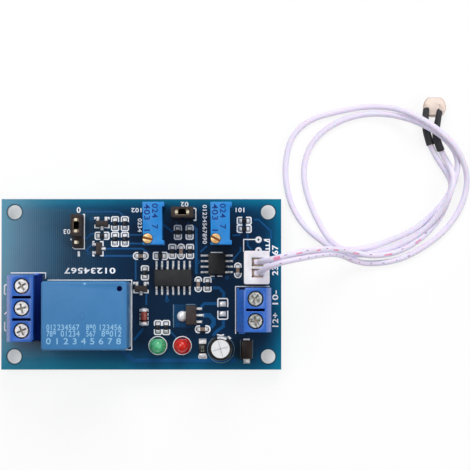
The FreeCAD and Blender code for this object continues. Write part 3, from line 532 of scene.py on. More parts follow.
def offset_line(points, shift, closed):
    """The polyline moved sideways by shift, with mitred corners."""
    count = len(points)
    # Below this the mitre of a sharp corner is cut short.
    least_cosine = 0.35
    moved = []
    for k in range(count):
        here = Vector(points[k])
        before = Vector(points[k - 1]) if k or closed else None
        after = Vector(points[(k + 1) % count]) if k < count - 1 or closed else None
        normals = []
        for a, b in ((before, here), (here, after)):
            if a is not None and b is not None:
                way = (b - a).normalized()
                normals.append(Vector((-way.y, way.x)))
        side = sum(normals, Vector((0, 0))).normalized()
        moved.append(here + side * shift * (1 / max(least_cosine, side.dot(normals[0]))))
    return moved


def add_ribbon(form, points, width, z0, z1, closed=False):
    """A flat printed or etched line of a given width along x, y points."""
    left = offset_line(points, width / 2, closed)
    right = offset_line(points, -width / 2, closed)
    rows = []
    for a, b in zip(left, right):
        corners = ((a, z0), (b, z0), (b, z1), (a, z1))
        rows.append([form.verts.new(mm(*p, z)) for p, z in corners])
    for one, two in zip(rows, rows[1:]):
        join_rings(form, one, two)
    if closed:
        join_rings(form, rows[-1], rows[0])
    else:
        form.faces.new(list(reversed(rows[0])))
        form.faces.new(rows[-1])


def arc(x, y, radius, start, end, steps):
    """Points on an arc, angles in degrees."""
    points = []
    for k in range(steps + 1):
        a = math.radians(start + (end - start) * k / steps)
        points.append((x + radius * math.cos(a), y + radius * math.sin(a)))
    return points


def turned_point(u, v, x, y, degrees):
    """The point u, v turned about the origin and moved to x, y."""
    a = math.radians(degrees)
    c = math.cos(a)
    s = math.sin(a)
    return x + c * u - s * v, y + s * u + c * v


def turned_points(points, x, y, degrees):
    return [turned_point(u, v, x, y, degrees) for u, v in points]


def evaluated_mesh(piece):
    """A mesh of a text or curve as it is drawn."""
    bpy.context.view_layer.update()
    graph = bpy.context.evaluated_depsgraph_get()
    return bpy.data.meshes.new_from_object(piece.evaluated_get(graph))


def add_numbers(form, text, x, y, height, z0, z1, turn, length, weight=0.0):
    """Plain figures, centred on x, y, stretched to a length and a thickness."""
    letters = bpy.data.curves.new("figures", "FONT")
    letters.body = text
    letters.size = 1.0
    letters.offset = weight
    letters.extrude = 0.5
    letters.space_character = 1.08
    holder = placed("figures", letters)
    mesh = evaluated_mesh(holder)
    low = Vector([min(v.co[k] for v in mesh.vertices) for k in range(3)])
    high = Vector([max(v.co[k] for v in mesh.vertices) for k in range(3)])
    size = high - low
    stretch = (length * MM / size.x, height * MM / size.y, (z1 - z0) * MM / size.z, 1)
    mesh.transform(Matrix.Translation(mm(x, y, (z0 + z1) / 2))
                   @ Matrix.Rotation(math.radians(turn), 4, "Z")
                   @ Matrix.Diagonal(stretch)
                   @ Matrix.Translation(-(low + high) / 2))
    form.from_mesh(mesh)
    bpy.data.objects.remove(holder)
    bpy.data.meshes.remove(mesh)


# The two loose wires
wire_diameter = 1.35
wire_a_points = [
    (26.8, 5.0, 10.8), (26.8, 5.0, 14.2), (28.9, 5.35, 17.7), (32.9, 6.4, 19.0),
    (36.8, 7.3, 16.6), (40.6, 7.9, 12.0), (44.2, 8.0, 7.2), (48.2, 7.5, 3.5),
    (52.86, 6.35, 2.15), (59.39, 7.4, 0.74), (65.1, 11.0, 0.68), (69.1, 15.85, 0.7),
    (70.95, 21.0, 2.1), (72.6, 25.9, 2.2), (72.35, 29.9, 3.2), (69.0, 34.0, 4.0),
    (63.5, 37.15, 3.9), (57.71, 39.1, 1.6), (51.57, 39.39, 0.68), (45.59, 37.76, 0.68),
    (40.54, 34.49, 0.68), (37.75, 30.0, 0.68), (37.05, 24.71, 0.68), (38.45, 19.0, 0.68),
    (41.0, 13.5, 0.68), (43.2, 10.15, 0.68), (45.5, 8.1, 0.68), (49.2, 7.85, 0.68),
    (53.2, 8.65, 0.68), (57.09, 10.0, 0.68), (63.08, 12.69, 0.68), (67.4, 16.5, 0.68),
    (70.3, 19.9, 0.68), (71.5, 22.8, 0.68), (70.3, 25.5, 0.68), (68.15, 28.7, 0.68),
    (66.75, 31.2, 0.72), (65.95, 33.2, 1.05),
]
wire_b_points = [
    (26.8, 2.5, 10.8), (26.8, 2.5, 14.2), (28.9, 3.98, 17.6), (32.9, 5.14, 18.9),
    (36.8, 5.9, 16.5), (40.6, 6.6, 11.9), (43.8, 6.95, 7.2), (46.2, 6.55, 4.2),
    (48.7, 5.4, 2.0), (52.3, 4.62, 0.68), (58.94, 5.38, 0.68), (64.69, 8.3, 0.68),
    (69.95, 12.4, 0.68), (73.75, 17.9, 0.68), (75.05, 23.9, 1.4), (73.6, 28.7, 3.9),
    (71.2, 32.3, 5.25), (67.3, 35.8, 5.35), (62.8, 38.6, 4.95), (57.48, 40.74, 1.8),
    (51.34, 40.98, 0.68), (44.9, 39.75, 0.68), (38.65, 38.05, 0.68), (34.5, 34.3, 0.68),
    (33.07, 29.08, 0.68), (33.0, 23.56, 0.68), (34.35, 18.0, 0.68), (37.45, 13.0, 0.68),
    (41.9, 9.5, 0.68), (45.6, 7.05, 0.68), (49.2, 6.75, 0.68), (53.0, 6.95, 0.68),
    (58.71, 8.75, 0.68), (64.1, 11.6, 0.85), (68.5, 16.2, 2.0), (71.2, 21.4, 3.75),
    (71.7, 25.2, 2.6), (69.65, 29.2, 0.9), (68.55, 31.3, 1.25), (67.95, 32.6, 1.75),
]


def wire_curve(name, points, radius_mm):
    """A round, smooth wire that ends at its first and last point."""
    curve = bpy.data.curves.new(name, "CURVE")
    curve.dimensions = "3D"
    spline = curve.splines.new("NURBS")
    spline.points.add(len(points) - 1)
    for point, place in zip(spline.points, points):
        point.co = (*mm(*place), 1.0)
    spline.order_u = 3
    spline.use_endpoint_u = True
    spline.resolution_u = 10
    curve.bevel_depth = radius_mm * MM
    curve.bevel_resolution = 4
    curve.use_fill_caps = True
    curve.materials.append(finish["sheath"])
    return placed(name, curve)


def middle_line(points):
    """The wire's own spline as a list of points, read with no bevel."""
    probe = wire_curve("probe", points, 0.0)
    probe.data.resolution_u = 24
    mesh = evaluated_mesh(probe)
    places = [v.co.copy() for v in mesh.vertices]
    bpy.data.objects.remove(probe)
    bpy.data.meshes.remove(mesh)
    return places


for letter, points in (("a", wire_a_points), ("b", wire_b_points)):
    wire = wire_curve("loose_wire_" + letter, points, wire_diameter / 2)
    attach(wire, "board")
    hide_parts("sensor_wire_" + letter)

line_a = middle_line(wire_a_points)
line_b = middle_line(wire_b_points)


mark_proud = 0.012


def add_mark(form, line, start_mm, length_mm, side, wide_mm):
    """A patch printed on a wire: where along it, and how far off its top."""
    radius = (wire_diameter / 2 + mark_proud) * MM
    travelled = 0.0
    rows = []
    for a, b in zip(line, line[1:]):
        step = (b - a).length / MM
        if travelled + step >= start_mm and travelled <= start_mm + length_mm:
            along = (b - a).normalized()
            across = along.cross(UP).normalized()
            top = across.cross(along)
            row = []
            for turn in (-1.0, -0.33, 0.33, 1.0):
                angle = side + turn * wide_mm / wire_diameter
                outward = across * math.sin(angle) + top * math.cos(angle)
                row.append(form.verts.new(a + outward * radius))
            rows.append(row)
        travelled += step
    for one, two in zip(rows, rows[1:]):
        for k in range(3):
            form.faces.new((one[k], one[k + 1], two[k + 1], two[k]))


def wire_marks():
    """Red and violet marks along the wires, as start and length in mm."""
    red = bmesh.new()
    violet = bmesh.new()
    add_mark(red, line_a, 8.7, 1.3, 0.1, 0.85)
    long_marks = ((13.5, 1.6), (19.8, 1.6), (26.5, 1.8), (33.0, 1.9), (41.0, 2.1), (49.0, 1.6))
    for start, length in long_marks:
        add_mark(red, line_a, start, length, 0.25, 0.34)
    for start in (11.0, 16.4, 23.6, 30.0, 37.5, 45.5, 52.0):
        add_mark(violet, line_a, start, 0.5, -0.2, 0.22)
    for start in (10.0, 14.4, 17.0, 19.6, 22.2, 25.0, 27.8, 30.6, 33.2, 36.0, 39.0, 42.0, 45.0,
                  48.0):
        add_mark(violet, line_b, start, 0.5, 0.15, 0.2)
    for name, form in (("red", red), ("violet", violet)):
        kept(f"wire_{name}_marks", form, name + "_mark")


wire_marks()


# Sleeves, legs and disc of the light sensor
def add_tube(form, points, radii, sides=16, steps=8):
    """A smooth tube through points with a radius at each."""
    spots = []
    for k in range(len(points) - 1):
        p0 = Vector(points[max(k - 1, 0)])
        p1 = Vector(points[k])
        p2 = Vector(points[k + 1])
        p3 = Vector(points[min(k + 2, len(points) - 1)])
        for i in range(steps):
            t = i / steps
            place = 0.5 * (2 * p1 + (p2 - p0) * t + (2 * p0 - 5 * p1 + 4 * p2 - p3) * t * t
                           + (3 * p1 - p0 - 3 * p2 + p3) * t ** 3)
            spots.append((place, radii[k] + (radii[k + 1] - radii[k]) * t))
    spots.append((Vector(points[-1]), radii[-1]))
    rows = []
    for k, (place, radius) in enumerate(spots):
        along = (spots[min(k + 1, len(spots) - 1)][0] - spots[max(k - 1, 0)][0]).normalized()
        across = along.cross(Vector((0.1, 0.1, 1))).normalized()
        other = along.cross(across)
        rows.append([mm(*(place + (across * u + other * v) * radius)) for u, v in circle(1, sides)])
    add_ring_rows(form, rows)


def sensor_pieces():
    """Both shrunk sleeves, open at the wire end, and the sensor's disc."""
    sleeves = bmesh.new()
    add_tube(sleeves, [
        (65.25, 40.36, 3.35), (65.25, 40.28, 3.36), (65.24, 39.95, 3.38), (65.1, 38.1, 3.3),
        (65.4, 35.5, 1.75), (66.0, 33.5, 1.05), (66.4, 32.2, 1.0), (66.32, 32.45, 1.0),
        (66.1, 33.1, 1.04)], [0.3, 0.58, 0.76, 0.76, 0.88, 0.93, 0.95, 0.78, 0.74])
    add_tube(sleeves, [
        (68.4, 39.8, 3.35), (68.35, 39.74, 3.35), (68.3, 39.5, 3.35), (68.0, 37.9, 3.3),
        (67.6, 34.9, 2.35), (67.85, 33.2, 2.0), (68.72, 30.98, 1.2), (68.62, 31.22, 1.28),
        (68.36, 31.9, 1.5)], [0.54, 0.64, 0.7, 0.72, 0.86, 0.9, 0.92, 0.78, 0.74])
    sleeve = kept("sleeve_pair", sleeves, "sleeve", smooth=40)
    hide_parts("sensor_sleeves")
    disc = softened("light_sensor_disc", "disc", 0.14, name="sensor_disc")
    # Slightly wider than the solid and to one side, as in the photograph
    low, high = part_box("light_sensor_disc")
    middle = (low + high) / 2
    wider_x = 1.035
    wider_y = 1.03
    right = 0.26 * MM
    down = 0.06 * MM
    for vert in disc.data.vertices:
        vert.co.x = middle.x + (vert.co.x - middle.x) * wider_x + right
        vert.co.y = middle.y + (vert.co.y - middle.y) * wider_y - down
    paint_faces(disc, "disc_rim", lambda face: abs(face.normal.z) < 0.85)
    return sleeve, disc


sleeve_pair, sensor_disc = sensor_pieces()
plug = softened("sensor_plug_housing", "nylon", 0.12, name="plug_housing")


# Etched and printed layers on the board
photo_scale = 4.37
photo_middle = (141.4, 284.35)


def on_board(points):
    """Photograph pixels to x, y on the top of the board."""
    mid_x, mid_y = photo_middle
    return [((px - mid_x) / photo_scale, (mid_y - py) / photo_scale) for px, py in points]


trace_top = board_top + 0.012
traces = [
    (0.4, [(84, 211.8), (119, 211.8), (124, 216.8)]),
    (0.4, [(106, 248.8), (142.5, 248.8), (148, 253)]),
    (0.44, [(104, 256), (132.5, 256)]),
    (0.4, [(129.5, 235), (142.5, 235)]),
    (0.4, [(129.5, 243.6), (142.5, 243.6)]),
    (0.4, [(135.7, 259), (135.7, 280)]),
    (0.4, [(86, 239), (91, 234), (94, 234)]),
    (0.4, [(86, 251), (92, 244.5), (94, 244.5)]),
    (0.38, [(254, 219.7), (258.5, 219.7), (271, 231.3), (271, 239)]),
    (0.6, [(193, 226), (196.3, 229.5), (196.3, 274)]),
    (0.4, [(247.7, 234), (247.7, 245.5), (251.5, 249.3)]),
    (0.4, [(240.5, 247), (240.5, 251), (233, 259.9)]),
    (0.7, [(212.7, 287.9), (219.0, 287.9), (223.7, 293.0), (223.7, 299)]),
    (0.7, [(201, 307), (204.4, 303.7), (217.5, 303.7)]),
    (0.7, [(223.4, 319), (223.4, 326.5), (216.5, 331.5), (212.7, 336)]),
    (1.0, [(203, 315.4), (209.6, 315.4), (213.6, 319.5), (213.6, 324), (210.6, 327.5)]),
    (0.9, [(121.5, 350.6), (133.5, 360.4), (236, 360.4)]),
    (0.4, [(146.4, 292), (146.4, 305)]),
    (0.6, [(143.5, 328.6), (134, 340)]),
    (0.4, [(163, 224.5), (172.5, 232)]),
    (0.4, [(166.8, 295), (166.8, 299.4)]),
    (0.4, [(170.6, 331.5), (176.4, 338)]),
    (0.4, [(200.5, 252), (207, 246)]),
    (0.4, [(232.5, 235.6), (240.5, 235)]),
    (0.4, [(176.5, 222), (176.5, 226)]),
    (0.4, [(188.5, 222), (188.5, 226)]),
]
vias = [
    (88.5, 253), (91.5, 219), (167, 300.4), (227, 277.5), (213, 278), (177.5, 324.8), (198, 262),
]


def etched_layer():
    """Tracks, small plated holes, a copper area and rims round the holes."""
    form = bmesh.new()
    for k, (width, points) in enumerate(traces):
        add_ribbon(form, on_board(points), width, board_top, trace_top + 0.0004 * k)
    for px, py in vias:
        ring = arc(*on_board([(px, py)])[0], 0.32, 0, 345, 23)
        add_ribbon(form, ring, 0.2, board_top, trace_top + 0.012, closed=True)
    kept("copper_traces", form, "copper")
    x0, y1 = on_board([(173.5, 304.5)])[0]
    x1, y0 = on_board([(197, 327.5)])[0]
    area = bmesh.new()
    add_box(area, x0, x1, y0, y1, board_top, trace_top - 0.002)
    kept("copper_area", area, "copper_area")
    rims = bmesh.new()
    for x in (-29.0, 29.0):
        for y in (-16.5, 16.5):
            add_ribbon(rims, arc(x, y, 1.76, 0, 352, 47), 0.26, board_top, trace_top, closed=True)
    kept("hole_rims", rims, "rim")


print_top = board_top + 0.03
print_width = 0.28


def bracket(form, x, y, along_y, half_long, half_wide, opening, corner, steps):
    """Two facing brackets round the ends of a small part."""
    u = half_long - corner
    v = half_wide - corner
    if steps == 1:
        corners = [(u, half_wide), (half_long, v), (half_long, -v), (u, -half_wide)]
    else:
        corners = arc(u, -v, corner, -90, 0, steps) + arc(u, v, corner, 0, 90, steps)
        corners.reverse()
    half = [(opening, half_wide)] + corners + [(opening, -half_wide)]
    for side in (1, -1):
        points = turned_points([(side * a, b) for a, b in half], x, y, 90 if along_y else 0)
        add_ribbon(form, points, print_width, board_top, print_top)


resistors_across = [(-9.0, 11.09), (4.32, 6.49), (23.52, 14.52), (23.52, 12.69)]
resistors_up = [
    (-6.02, 13.86), (-3.78, 13.86), (-6.02, 10.31), (-3.78, 10.31), (7.09, 7.52), (11.12, 7.52),
    (8.35, 11.89), (11.03, 11.89), (0.82, 2.62), (15.13, -0.06), (3.80, -9.90), (5.68, -9.90),
]
capacitors_across = [(-0.14, 6.49), (14.03, -10.29)]
capacitors_up = [(9.08, 7.52), (22.08, 3.19), (13.02, -0.01)]
transistors = [(-9.02, 13.9, 270), (-0.07, -0.97, 270), (-9.73, 8.14, 0)]
leds = [(3.78, -14.0), (9.38, -14.0)]


def print_layer():
    """All white print: outlines, rings, figures and signs."""
    form = bmesh.new()
    thin = bmesh.new()

    def stroke(points, width=print_width, closed=False):
        add_ribbon(form, points, width, board_top, print_top, closed)

    def faint(points, width):
        add_ribbon(thin, points, width, board_top, print_top - 0.004)

    for places, along_y, sizes in (
            (resistors_across, False, (1.58, 0.79, 0.42, 0.2, 1)),
            (resistors_up, True, (1.58, 0.79, 0.42, 0.2, 1)),
            (capacitors_across, False, (1.66, 0.77, 0.62, 0.7, 6)),
            (capacitors_up, True, (1.66, 0.73, 0.62, 0.68, 6))):
        for x, y in places:
            bracket(form, x, y, along_y, *sizes)
    for x, y, turn in transistors:
        for side in (1, -1):
            outline = [(0.95, side * 0.55), (0.95, side * 1.62), (0.25, side * 1.62)]
            stroke(turned_points(outline, x, y, turn))
            outline = [(-0.95, side * 1.62), (-1.35, side * 1.62), (-1.35, side * 1.3)]
            stroke(turned_points(outline, x, y, turn))
    # Two empty pads between brackets
    bracket(form, 18.63, -5.62, True, 2.35, 1.12, 0.42, 0.22, 1)
    # The relay, the terminals and the sensor plug
    stroke([(-21.5, 0.95), (-2.2, 0.95), (-2.2, -14.95), (-20.7, -14.95)], 0.22)
    stroke([(-29.9, 2.6), (-21.9, 2.6), (-21.9, 1.2)], 0.22)
    stroke([(-30.75, -0.1), (-31.05, -0.1), (-31.3, -0.4), (-31.3, -2.1), (-31.05, -2.4)])
    stroke([(-30.65, -6.2), (-31.3, -6.9)])
    stroke([(-16.1, 10.45), (-16.1, 10.05)], 0.3)
    stroke([(-31.25, -8.6), (-31.25, -10.4), (-30.95, -10.7)])
    stroke([(29.3, -0.5), (21.55, -0.5), (21.55, -11.3)], 0.2)
    stroke([(26.2, 10.25), (23.4, 10.25), (23.4, 7.4)], 0.22)
    stroke([(28.0, 10.25), (29.3, 10.25), (29.3, 7.4)], 0.22)
    stroke([(28.1, 10.1), (29.2, 9.7)])
    stroke([(28.4, 8.9), (29.2, 8.9)])
    stroke([(28.4, 8.1), (29.2, 8.1)])
    # Headers
    stroke([(-13.4, 16.0), (-13.05, 16.0), (-13.05, 8.1), (-15.2, 8.1), (-15.75, 8.5)], 0.22)
    stroke([(11.9, 17.45), (12.45, 17.2), (12.45, 14.65), (11.9, 14.65)], 0.3)
    # Chips
    stroke([(15.85, 7.27), (18.6, 7.27)], 0.24)
    stroke([(15.7, 1.83), (16.75, 1.83)], 0.24)
    stroke([(17.35, 1.85), (18.55, 1.85)], 0.24)
    # Regulator, diode and capacitor
    faint([(7.35, -4.62), (7.35, -9.85)], 0.2)
    faint([(10.2, -4.62), (12.3, -4.62)], 0.2)
    faint([(22.68, -12.7), (22.68, -17.0)], 0.2)
    faint([(25.45, -12.7), (25.45, -17.0)], 0.2)
    stroke([(13.2, -12.7), (14.85, -12.7)], 0.36)
    stroke([(13.2, -16.9), (13.2, -16.25)], 0.3)
    stroke([(14.85, -16.9), (14.85, -16.25)], 0.3)
    faint(arc(18.2, -14.85, 3.08, -235, 75, 48), 0.16)
    stroke([(17.3, -11.5), (18.3, -11.7), (18.9, -11.5)])
    stroke([(19.8, -11.9), (20.4, -12.3), (19.9, -12.6)])
    # Small diode: a broken box
    for a, b in ((-5.72, -6.3), (-6.6, -7.2), (-7.5, -8.1), (-8.4, -9.3)):
        for x in (-0.3, 1.54):
            stroke([(x, a), (x, b)], 0.14)
    stroke([(-0.3, -5.72), (0.2, -5.72)], 0.14)
    stroke([(1.04, -5.72), (1.54, -5.72)], 0.14)
    stroke([(-0.3, -9.3), (1.54, -9.3)], 0.14)
    # Rings round the lamps
    for x, y in leds:
        stroke(arc(x, y, 2.07, 0, 352, 47), 0.2, closed=True)
    # Plain figures and signs: text, middle, height, turn, length
    figures = [
        ("0", -14.37, 17.0, 1.3, 180, 0.9), ("1", -14.32, 6.95, 1.2, 180, 0.5),
        ("03", -17.05, 12.05, 1.1, 180, 1.55), ("02", 9.88, 18.3, 1.1, 180, 1.75),
        ("101", 22.56, 17.0, 1.05, 180, 2.0), ("102", -1.15, 16.95, 1.0, 180, 2.35),
        ("01234567", -11.8, 3.1, 1.35, 180, 11.7), ("0234", -0.36, 13.5, 0.95, 270, 3.1),
        ("01234567890", 14.5, 13.7, 1.0, 270, 8.9), ("234567", 30.6, 5.5, 1.4, 90, 6.9),
        ("10-", 30.62, -3.0, 1.35, 90, 3.2), ("12+", 30.62, -8.15, 1.35, 90, 3.2),
    ]
    for text, x, y, height, turn, length in figures:
        add_numbers(form, text, x, y, height, board_top, print_top, turn, length, 0.02)
    kept("board_print", form, "print")
    kept("thin_print", thin, "dim_print")


etched_layer()
print_layer()


# Pads and solder
def two_ended_places():
    """Each small part as centre, direction, half length and half width."""
    places = []
    for x, y in resistors_across + capacitors_across:
        places.append((x, y, 0, 0.8, 0.4))
    for x, y in resistors_up + capacitors_up:
        places.append((x, y, 90, 0.8, 0.4))
    places.append((14.03, -14.73, 90, 1.6, 0.8))
    return places


def turned_size(turn, along, across):
    """Half sizes in x and y of what lies along x, or along y once turned."""
    return (along, across) if turn == 0 else (across, along)


def pads_and_beads():
    """Pads, beads of solder on them, and the figures on the large resistor."""
    pads = bmesh.new()
    beads = bmesh.new()
    pad_top = board_top + 0.035

    def pad(x, y, rx, ry):
        add_box(pads, x - rx, x + rx, y - ry, y + ry, board_top, pad_top)

    for x, y, turn, half_long, half_wide in two_ended_places():
        pad_size = turned_size(turn, 0.42 if half_long < 1 else 0.62, half_wide + 0.06)
        bead_size = turned_size(turn, 0.26, half_wide * 0.8)
        for side in (1, -1):
            pad(*turned_point(side * (half_long + 0.08), 0, x, y, turn), *pad_size)
            tip = turned_point(side * (half_long + 0.1), 0, x, y, turn)
            add_blob(beads, *tip, pad_top, *bead_size, 0.38)
    for x, y in ((18.63, -4.5), (18.63, -6.75)):
        pad(x, y, 0.75, 0.6)
        add_blob(beads, x, y, pad_top - 0.01, 0.7, 0.55, 0.14)
    # Both chips: middle, direction, leads in a row, reach of the leads
    lead_pitch = 1.27
    for x, y, turn, count, reach in ((7.28, 1.45, 0, 7, 3.93), (17.27, 4.65, 90, 4, 3.72)):
        for side in (1, -1):
            for k in range(count):
                along = (k - (count - 1) / 2) * lead_pitch
                middle = turned_point(along, side * (reach - 0.75), x, y, turn)
                pad(*middle, *turned_size(turn, 0.23, 0.72))
                for reached in (reach - 0.36, reach - 1.1):
                    tip = turned_point(along, side * reached, x, y, turn)
                    add_blob(beads, *tip, pad_top, *turned_size(turn, 0.22, 0.3), 0.34)
    for x, y, turn in transistors:
        rx, ry = turned_size(turn, 0.42, 0.36)
        for u, v in ((1.1, 0), (-1.1, 0.95), (-1.1, -0.95)):
            pad(*turned_point(u, v, x, y, turn), rx, ry)
            tip = turned_point(u * 1.12, v, x, y, turn)
            add_blob(beads, *tip, pad_top, rx * 0.8, ry * 0.8, 0.22)
    # The regulator: a large bead on its tab, small ones on its leads
    add_blob(beads, 9.35, -7.32, board_top + 0.02, 1.2, 1.2, 0.72, 24)
    for k in (-1, 0, 1):
        reach = 13.4 if k else 13.85
        y = -7.1 + k * 1.5
        add_box(pads, reach - 0.6, reach + 0.5, y - 0.3, y + 0.3, board_top, pad_top)
        add_blob(beads, reach + 0.1, y, pad_top, 0.36, 0.24, 0.42)
    # Input diode: its lead runs under both ends
    add_box(pads, 23.35, 24.85, -18.1, -17.0, board_top, pad_top)
    add_blob(beads, 24.1, -17.6, pad_top, 0.68, 0.42, 0.4)
    # Small diode
    for y in (-5.85, -9.1):
        add_box(pads, 0.0, 1.24, y - 0.4, y + 0.4, board_top, pad_top)
        add_blob(beads, 0.62, y, pad_top, 0.44, 0.26, 0.3)
    figures = bmesh.new()
    chip_top = top_of("chip_resistor_bodies")
    add_numbers(figures, "012", 14.03, -14.75, 0.75, chip_top - 0.004, chip_top + 0.008, 270,
                1.35, 0.01)
    kept("resistor_figures", figures, "grey_print")
    kept("surface_pads", pads, "pad")
    kept("solder_beads", beads, "solder", smooth=60)
    # Two plated holes that nothing uses, each with a dark disc of painted shade in its middle
    rings = bmesh.new()
    holes = bmesh.new()
    for x, y in ((26.8, 10.2), (26.8, 7.75)):
        add_ribbon(rings, arc(x, y, 0.5, 0, 350, 31), 0.5, board_top, pad_top, closed=True)
        add_turned(holes, x, y, [(0.3, board_top), (0.26, pad_top - 0.01)], 20)
    kept("plated_rings", rings, "solder")
    kept("plated_hole_shade", holes, "hole_painted_shade")


pads_and_beads()


# Relay
def relay_pieces():
    """The cover, the seal line at its foot, its moulded marks and its print."""
    softened("relay_case", "relay", 0.22, name="relay_cover")
    low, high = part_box("relay_case")
    right = high.x / MM
    front = low.y / MM
    back = high.y / MM
    top = high.z / MM
    # Pale potting resin that crept up at the foot of the right-hand wall
    seal = bmesh.new()
    edge = [(right + 0.02, front + 0.3)]
    random.seed(4)
    for k in range(1, 24):
        y = front + 0.3 + (back - front - 0.6) * k / 24
        edge.append((right + 0.06 + 0.06 * random.random(), y))
    edge.append((right + 0.02, back - 0.3))
    add_ribbon(seal, edge, 0.14, board_top, board_top + 0.6)
    kept("relay_seal", seal, "relay_seal")
    # Gate mark, vent and a faint oval left by moulding; the vent's floor is a dark disc of painted
    # shade.
    marks = bmesh.new()
    gate = [(0.32, top - 0.01), (0.3, top + 0.012), (0.1, top + 0.012)]
    add_turned(marks, -11.9, 0.1, gate, 16, (1, 0.6))
    kept("relay_gate_mark", marks, "pale_print")
    oval = bmesh.new()
    ring = [(-12.45 + 0.5 * u, -7.1 + 0.85 * v) for u, v in circle(1, 24)]
    add_ribbon(oval, ring, 0.12, top - 0.01, top + 0.008, closed=True)
    kept("relay_oval", oval, "relay_oval")
    vent = bmesh.new()
    add_turned(vent, -4.2, -1.0, [(0.58, top - 0.2), (0.58, top - 0.17), (0.05, top - 0.17)], 20)
    kept("relay_vent_floor", vent, "recess_painted_shade")
    rows = bmesh.new()
    printed = [
        ("012", -19.3, -9.57, 1.3, 2.1), ("234567", -15.5, -9.57, 1.3, 4.9),
        ("890", -10.5, -9.57, 1.3, 2.1), ("123456", -6.15, -9.57, 1.3, 4.8),
        ("789", -19.3, -10.97, 1.3, 2.1), ("01234", -15.1, -10.97, 1.3, 4.2),
        ("567", -10.5, -10.97, 1.3, 2.1), ("89012", -5.95, -10.97, 1.3, 4.4),
        ("0 1 2 3 4 5 6 7 8", -12.15, -12.63, 1.4, 16.6),
    ]
    for text, x, y, height, length in printed:
        add_numbers(rows, text, x, y, height, top - 0.005, top + 0.006, 0, length, 0.01)
    kept("relay_print", rows, "pale_print")


relay_pieces()


# Screw terminals
def terminal_screw_piece(name, pole, x, y, degrees, material):
    """A cross-slotted head on a plain shank, its slot in a darker finish."""
    node = f"{name}_terminal_screw_{pole}"
    top = top_of(node)
    foot = foot_of(node)
    radius = 1.55
    rim_share = 0.93
    bevel = 0.12
    shank = 1.22
    slot_half = 0.21
    slot_long = 1.12
    depth = 0.62
    floor_share = 0.94
    head_foot = foot + 3.4
    form = bmesh.new()
    outline = circle(radius, 40)
    corners = [(slot_half, slot_half), (slot_long, slot_half), (slot_long, -slot_half)]
    cross = []
    for turn in (0, -90, -180, -270):
        cross += turned_points(corners, 0, 0, degrees + turn)

    def loop(points, z, shrink=1.0):
        return [form.verts.new(mm(x + u * shrink, y + v * shrink, z)) for u, v in points]

    rim = loop(outline, top, rim_share)
    chamfer = loop(outline, top - bevel)
    shoulder = loop(outline, head_foot)
    mouth = loop(cross, top)
    floor = loop(cross, top - depth, floor_share)
    for one, two in ((chamfer, rim), (shoulder, chamfer), (mouth, floor)):
        join_rings(form, one, two)
    form.faces.new(list(reversed(floor)))
    for face in form.faces:
        if all(vert in mouth + floor for vert in face.verts):
            face.material_index = 1
    edges = []
    for ring in (rim, mouth):
        for a, b in zip(ring, ring[1:] + ring[:1]):
            edges.append(form.edges.get((a, b)))
    bmesh.ops.triangle_fill(form, use_beauty=True, edges=edges)
    form.faces.new(shoulder)
    add_turned(form, x, y, [(shank, foot), (shank, head_foot)], 24)
    bmesh.ops.recalc_face_normals(form, faces=form.faces)
    piece = kept(f"{name}_screw_head_{pole}", form, material, f"{name}_screw_{pole}",
                 smooth=30)
    piece.data.materials.append(finish["slot_darkening"])
    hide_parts(node)


pole_pitch = 5.0


def terminal_pieces(name, poles, x, y, side, material, angles):
    """Housing, screws, and dark linings of painted shade in its bores and slots."""
    body = softened(f"{name}_terminal_housing", "terminal", 0.14, name=f"{name}_terminal_body")
    if name == "output":
        # The rear step gets painted shade: a darker blue for the trench between the housing and the
        # taller relay.
        step = (x + 3.2) * MM
        high = 12.5 * MM
        paint_faces(body, "terminal_painted_shade", lambda f: f.center.x > step and f.center.z < high)
    bores = bmesh.new()
    lining = 1.79
    inner = 1.74
    bore_foot = 9.75
    bore_top = 13.5
    wall = [(lining, bore_foot), (lining, bore_top), (inner, bore_top), (inner, bore_foot)]
    for k in range(poles):
        pole_y = y + side * (k - (poles - 1) / 2) * pole_pitch
        terminal_screw_piece(name, k + 1, x, pole_y, angles[k], material)
        rows = level_rings(x, pole_y, wall, 32)
        add_ring_rows(bores, rows + rows[:1], closed_ends=False)
    half_long = 2.09
    half_wide = 0.29
    slot_floor = 12.11
    for k in range(poles - 1):
        slot_y = y + (k - (poles - 2) / 2) * pole_pitch
        add_box(bores, x - half_long, x + half_long, slot_y - half_wide, slot_y + half_wide,
                slot_floor, slot_floor + 0.05)
    kept(f"{name}_terminal_shade", bores, "recess_painted_shade")


terminal_pieces("output", 3, -26.45, -5.42, -1, "chrome", (32, 14, 24))
# The power terminal's screws take the darker copy of the plating, painted dim for the dark
# surroundings they reflect.
terminal_pieces("power", 2, 26.0, -5.78, 1, "screw_painted_dim", (8, -34))


# Trimmers
def trimmer_pieces(name, x, degrees):
    """Housing, print and adjuster, whose slot is turned as in the photograph."""
    housing = f"{name}_trimmer_housing"
    softened(housing, "trimmer", 0.12, name=f"{name}_trimmer_body")
    screw = softened(f"{name}_trimmer_screw", "bright_brass", 0.08, f"{name}_adjuster",
                     name=f"{name}_adjuster_screw")
    low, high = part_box(f"{name}_trimmer_screw")
    centre = (low + high) / 2
    turn = Matrix.Rotation(math.radians(degrees), 4, "Z")
    screw.data.transform(Matrix.Translation(centre) @ turn @ Matrix.Translation(-centre))
    floor = max(vert.co.z for vert in screw.data.vertices) - 0.1 * MM
    # The slot's floor takes the shaded brass, a painted shade.
    paint_faces(screw, "brass_slot", lambda f: f.normal.z > 0.9 and f.center.z < floor)
    figures = bmesh.new()
    z0 = top_of(housing) - 0.004
    z1 = top_of(housing) + 0.006
    for text, place_x, place_y, length in (("403  1", x - 1.12, 15.0, 6.1),
                                           ("024  7", x + 0.65, 15.25, 5.7)):
        add_numbers(figures, text, place_x, place_y, 1.35, z0, z1, 270, length, 0.02)
    kept(f"{name}_trimmer_print", figures, "dark_print")


trimmer_pieces("time", 2.8, -14)
trimmer_pieces("sensitivity", 18.05, -28)


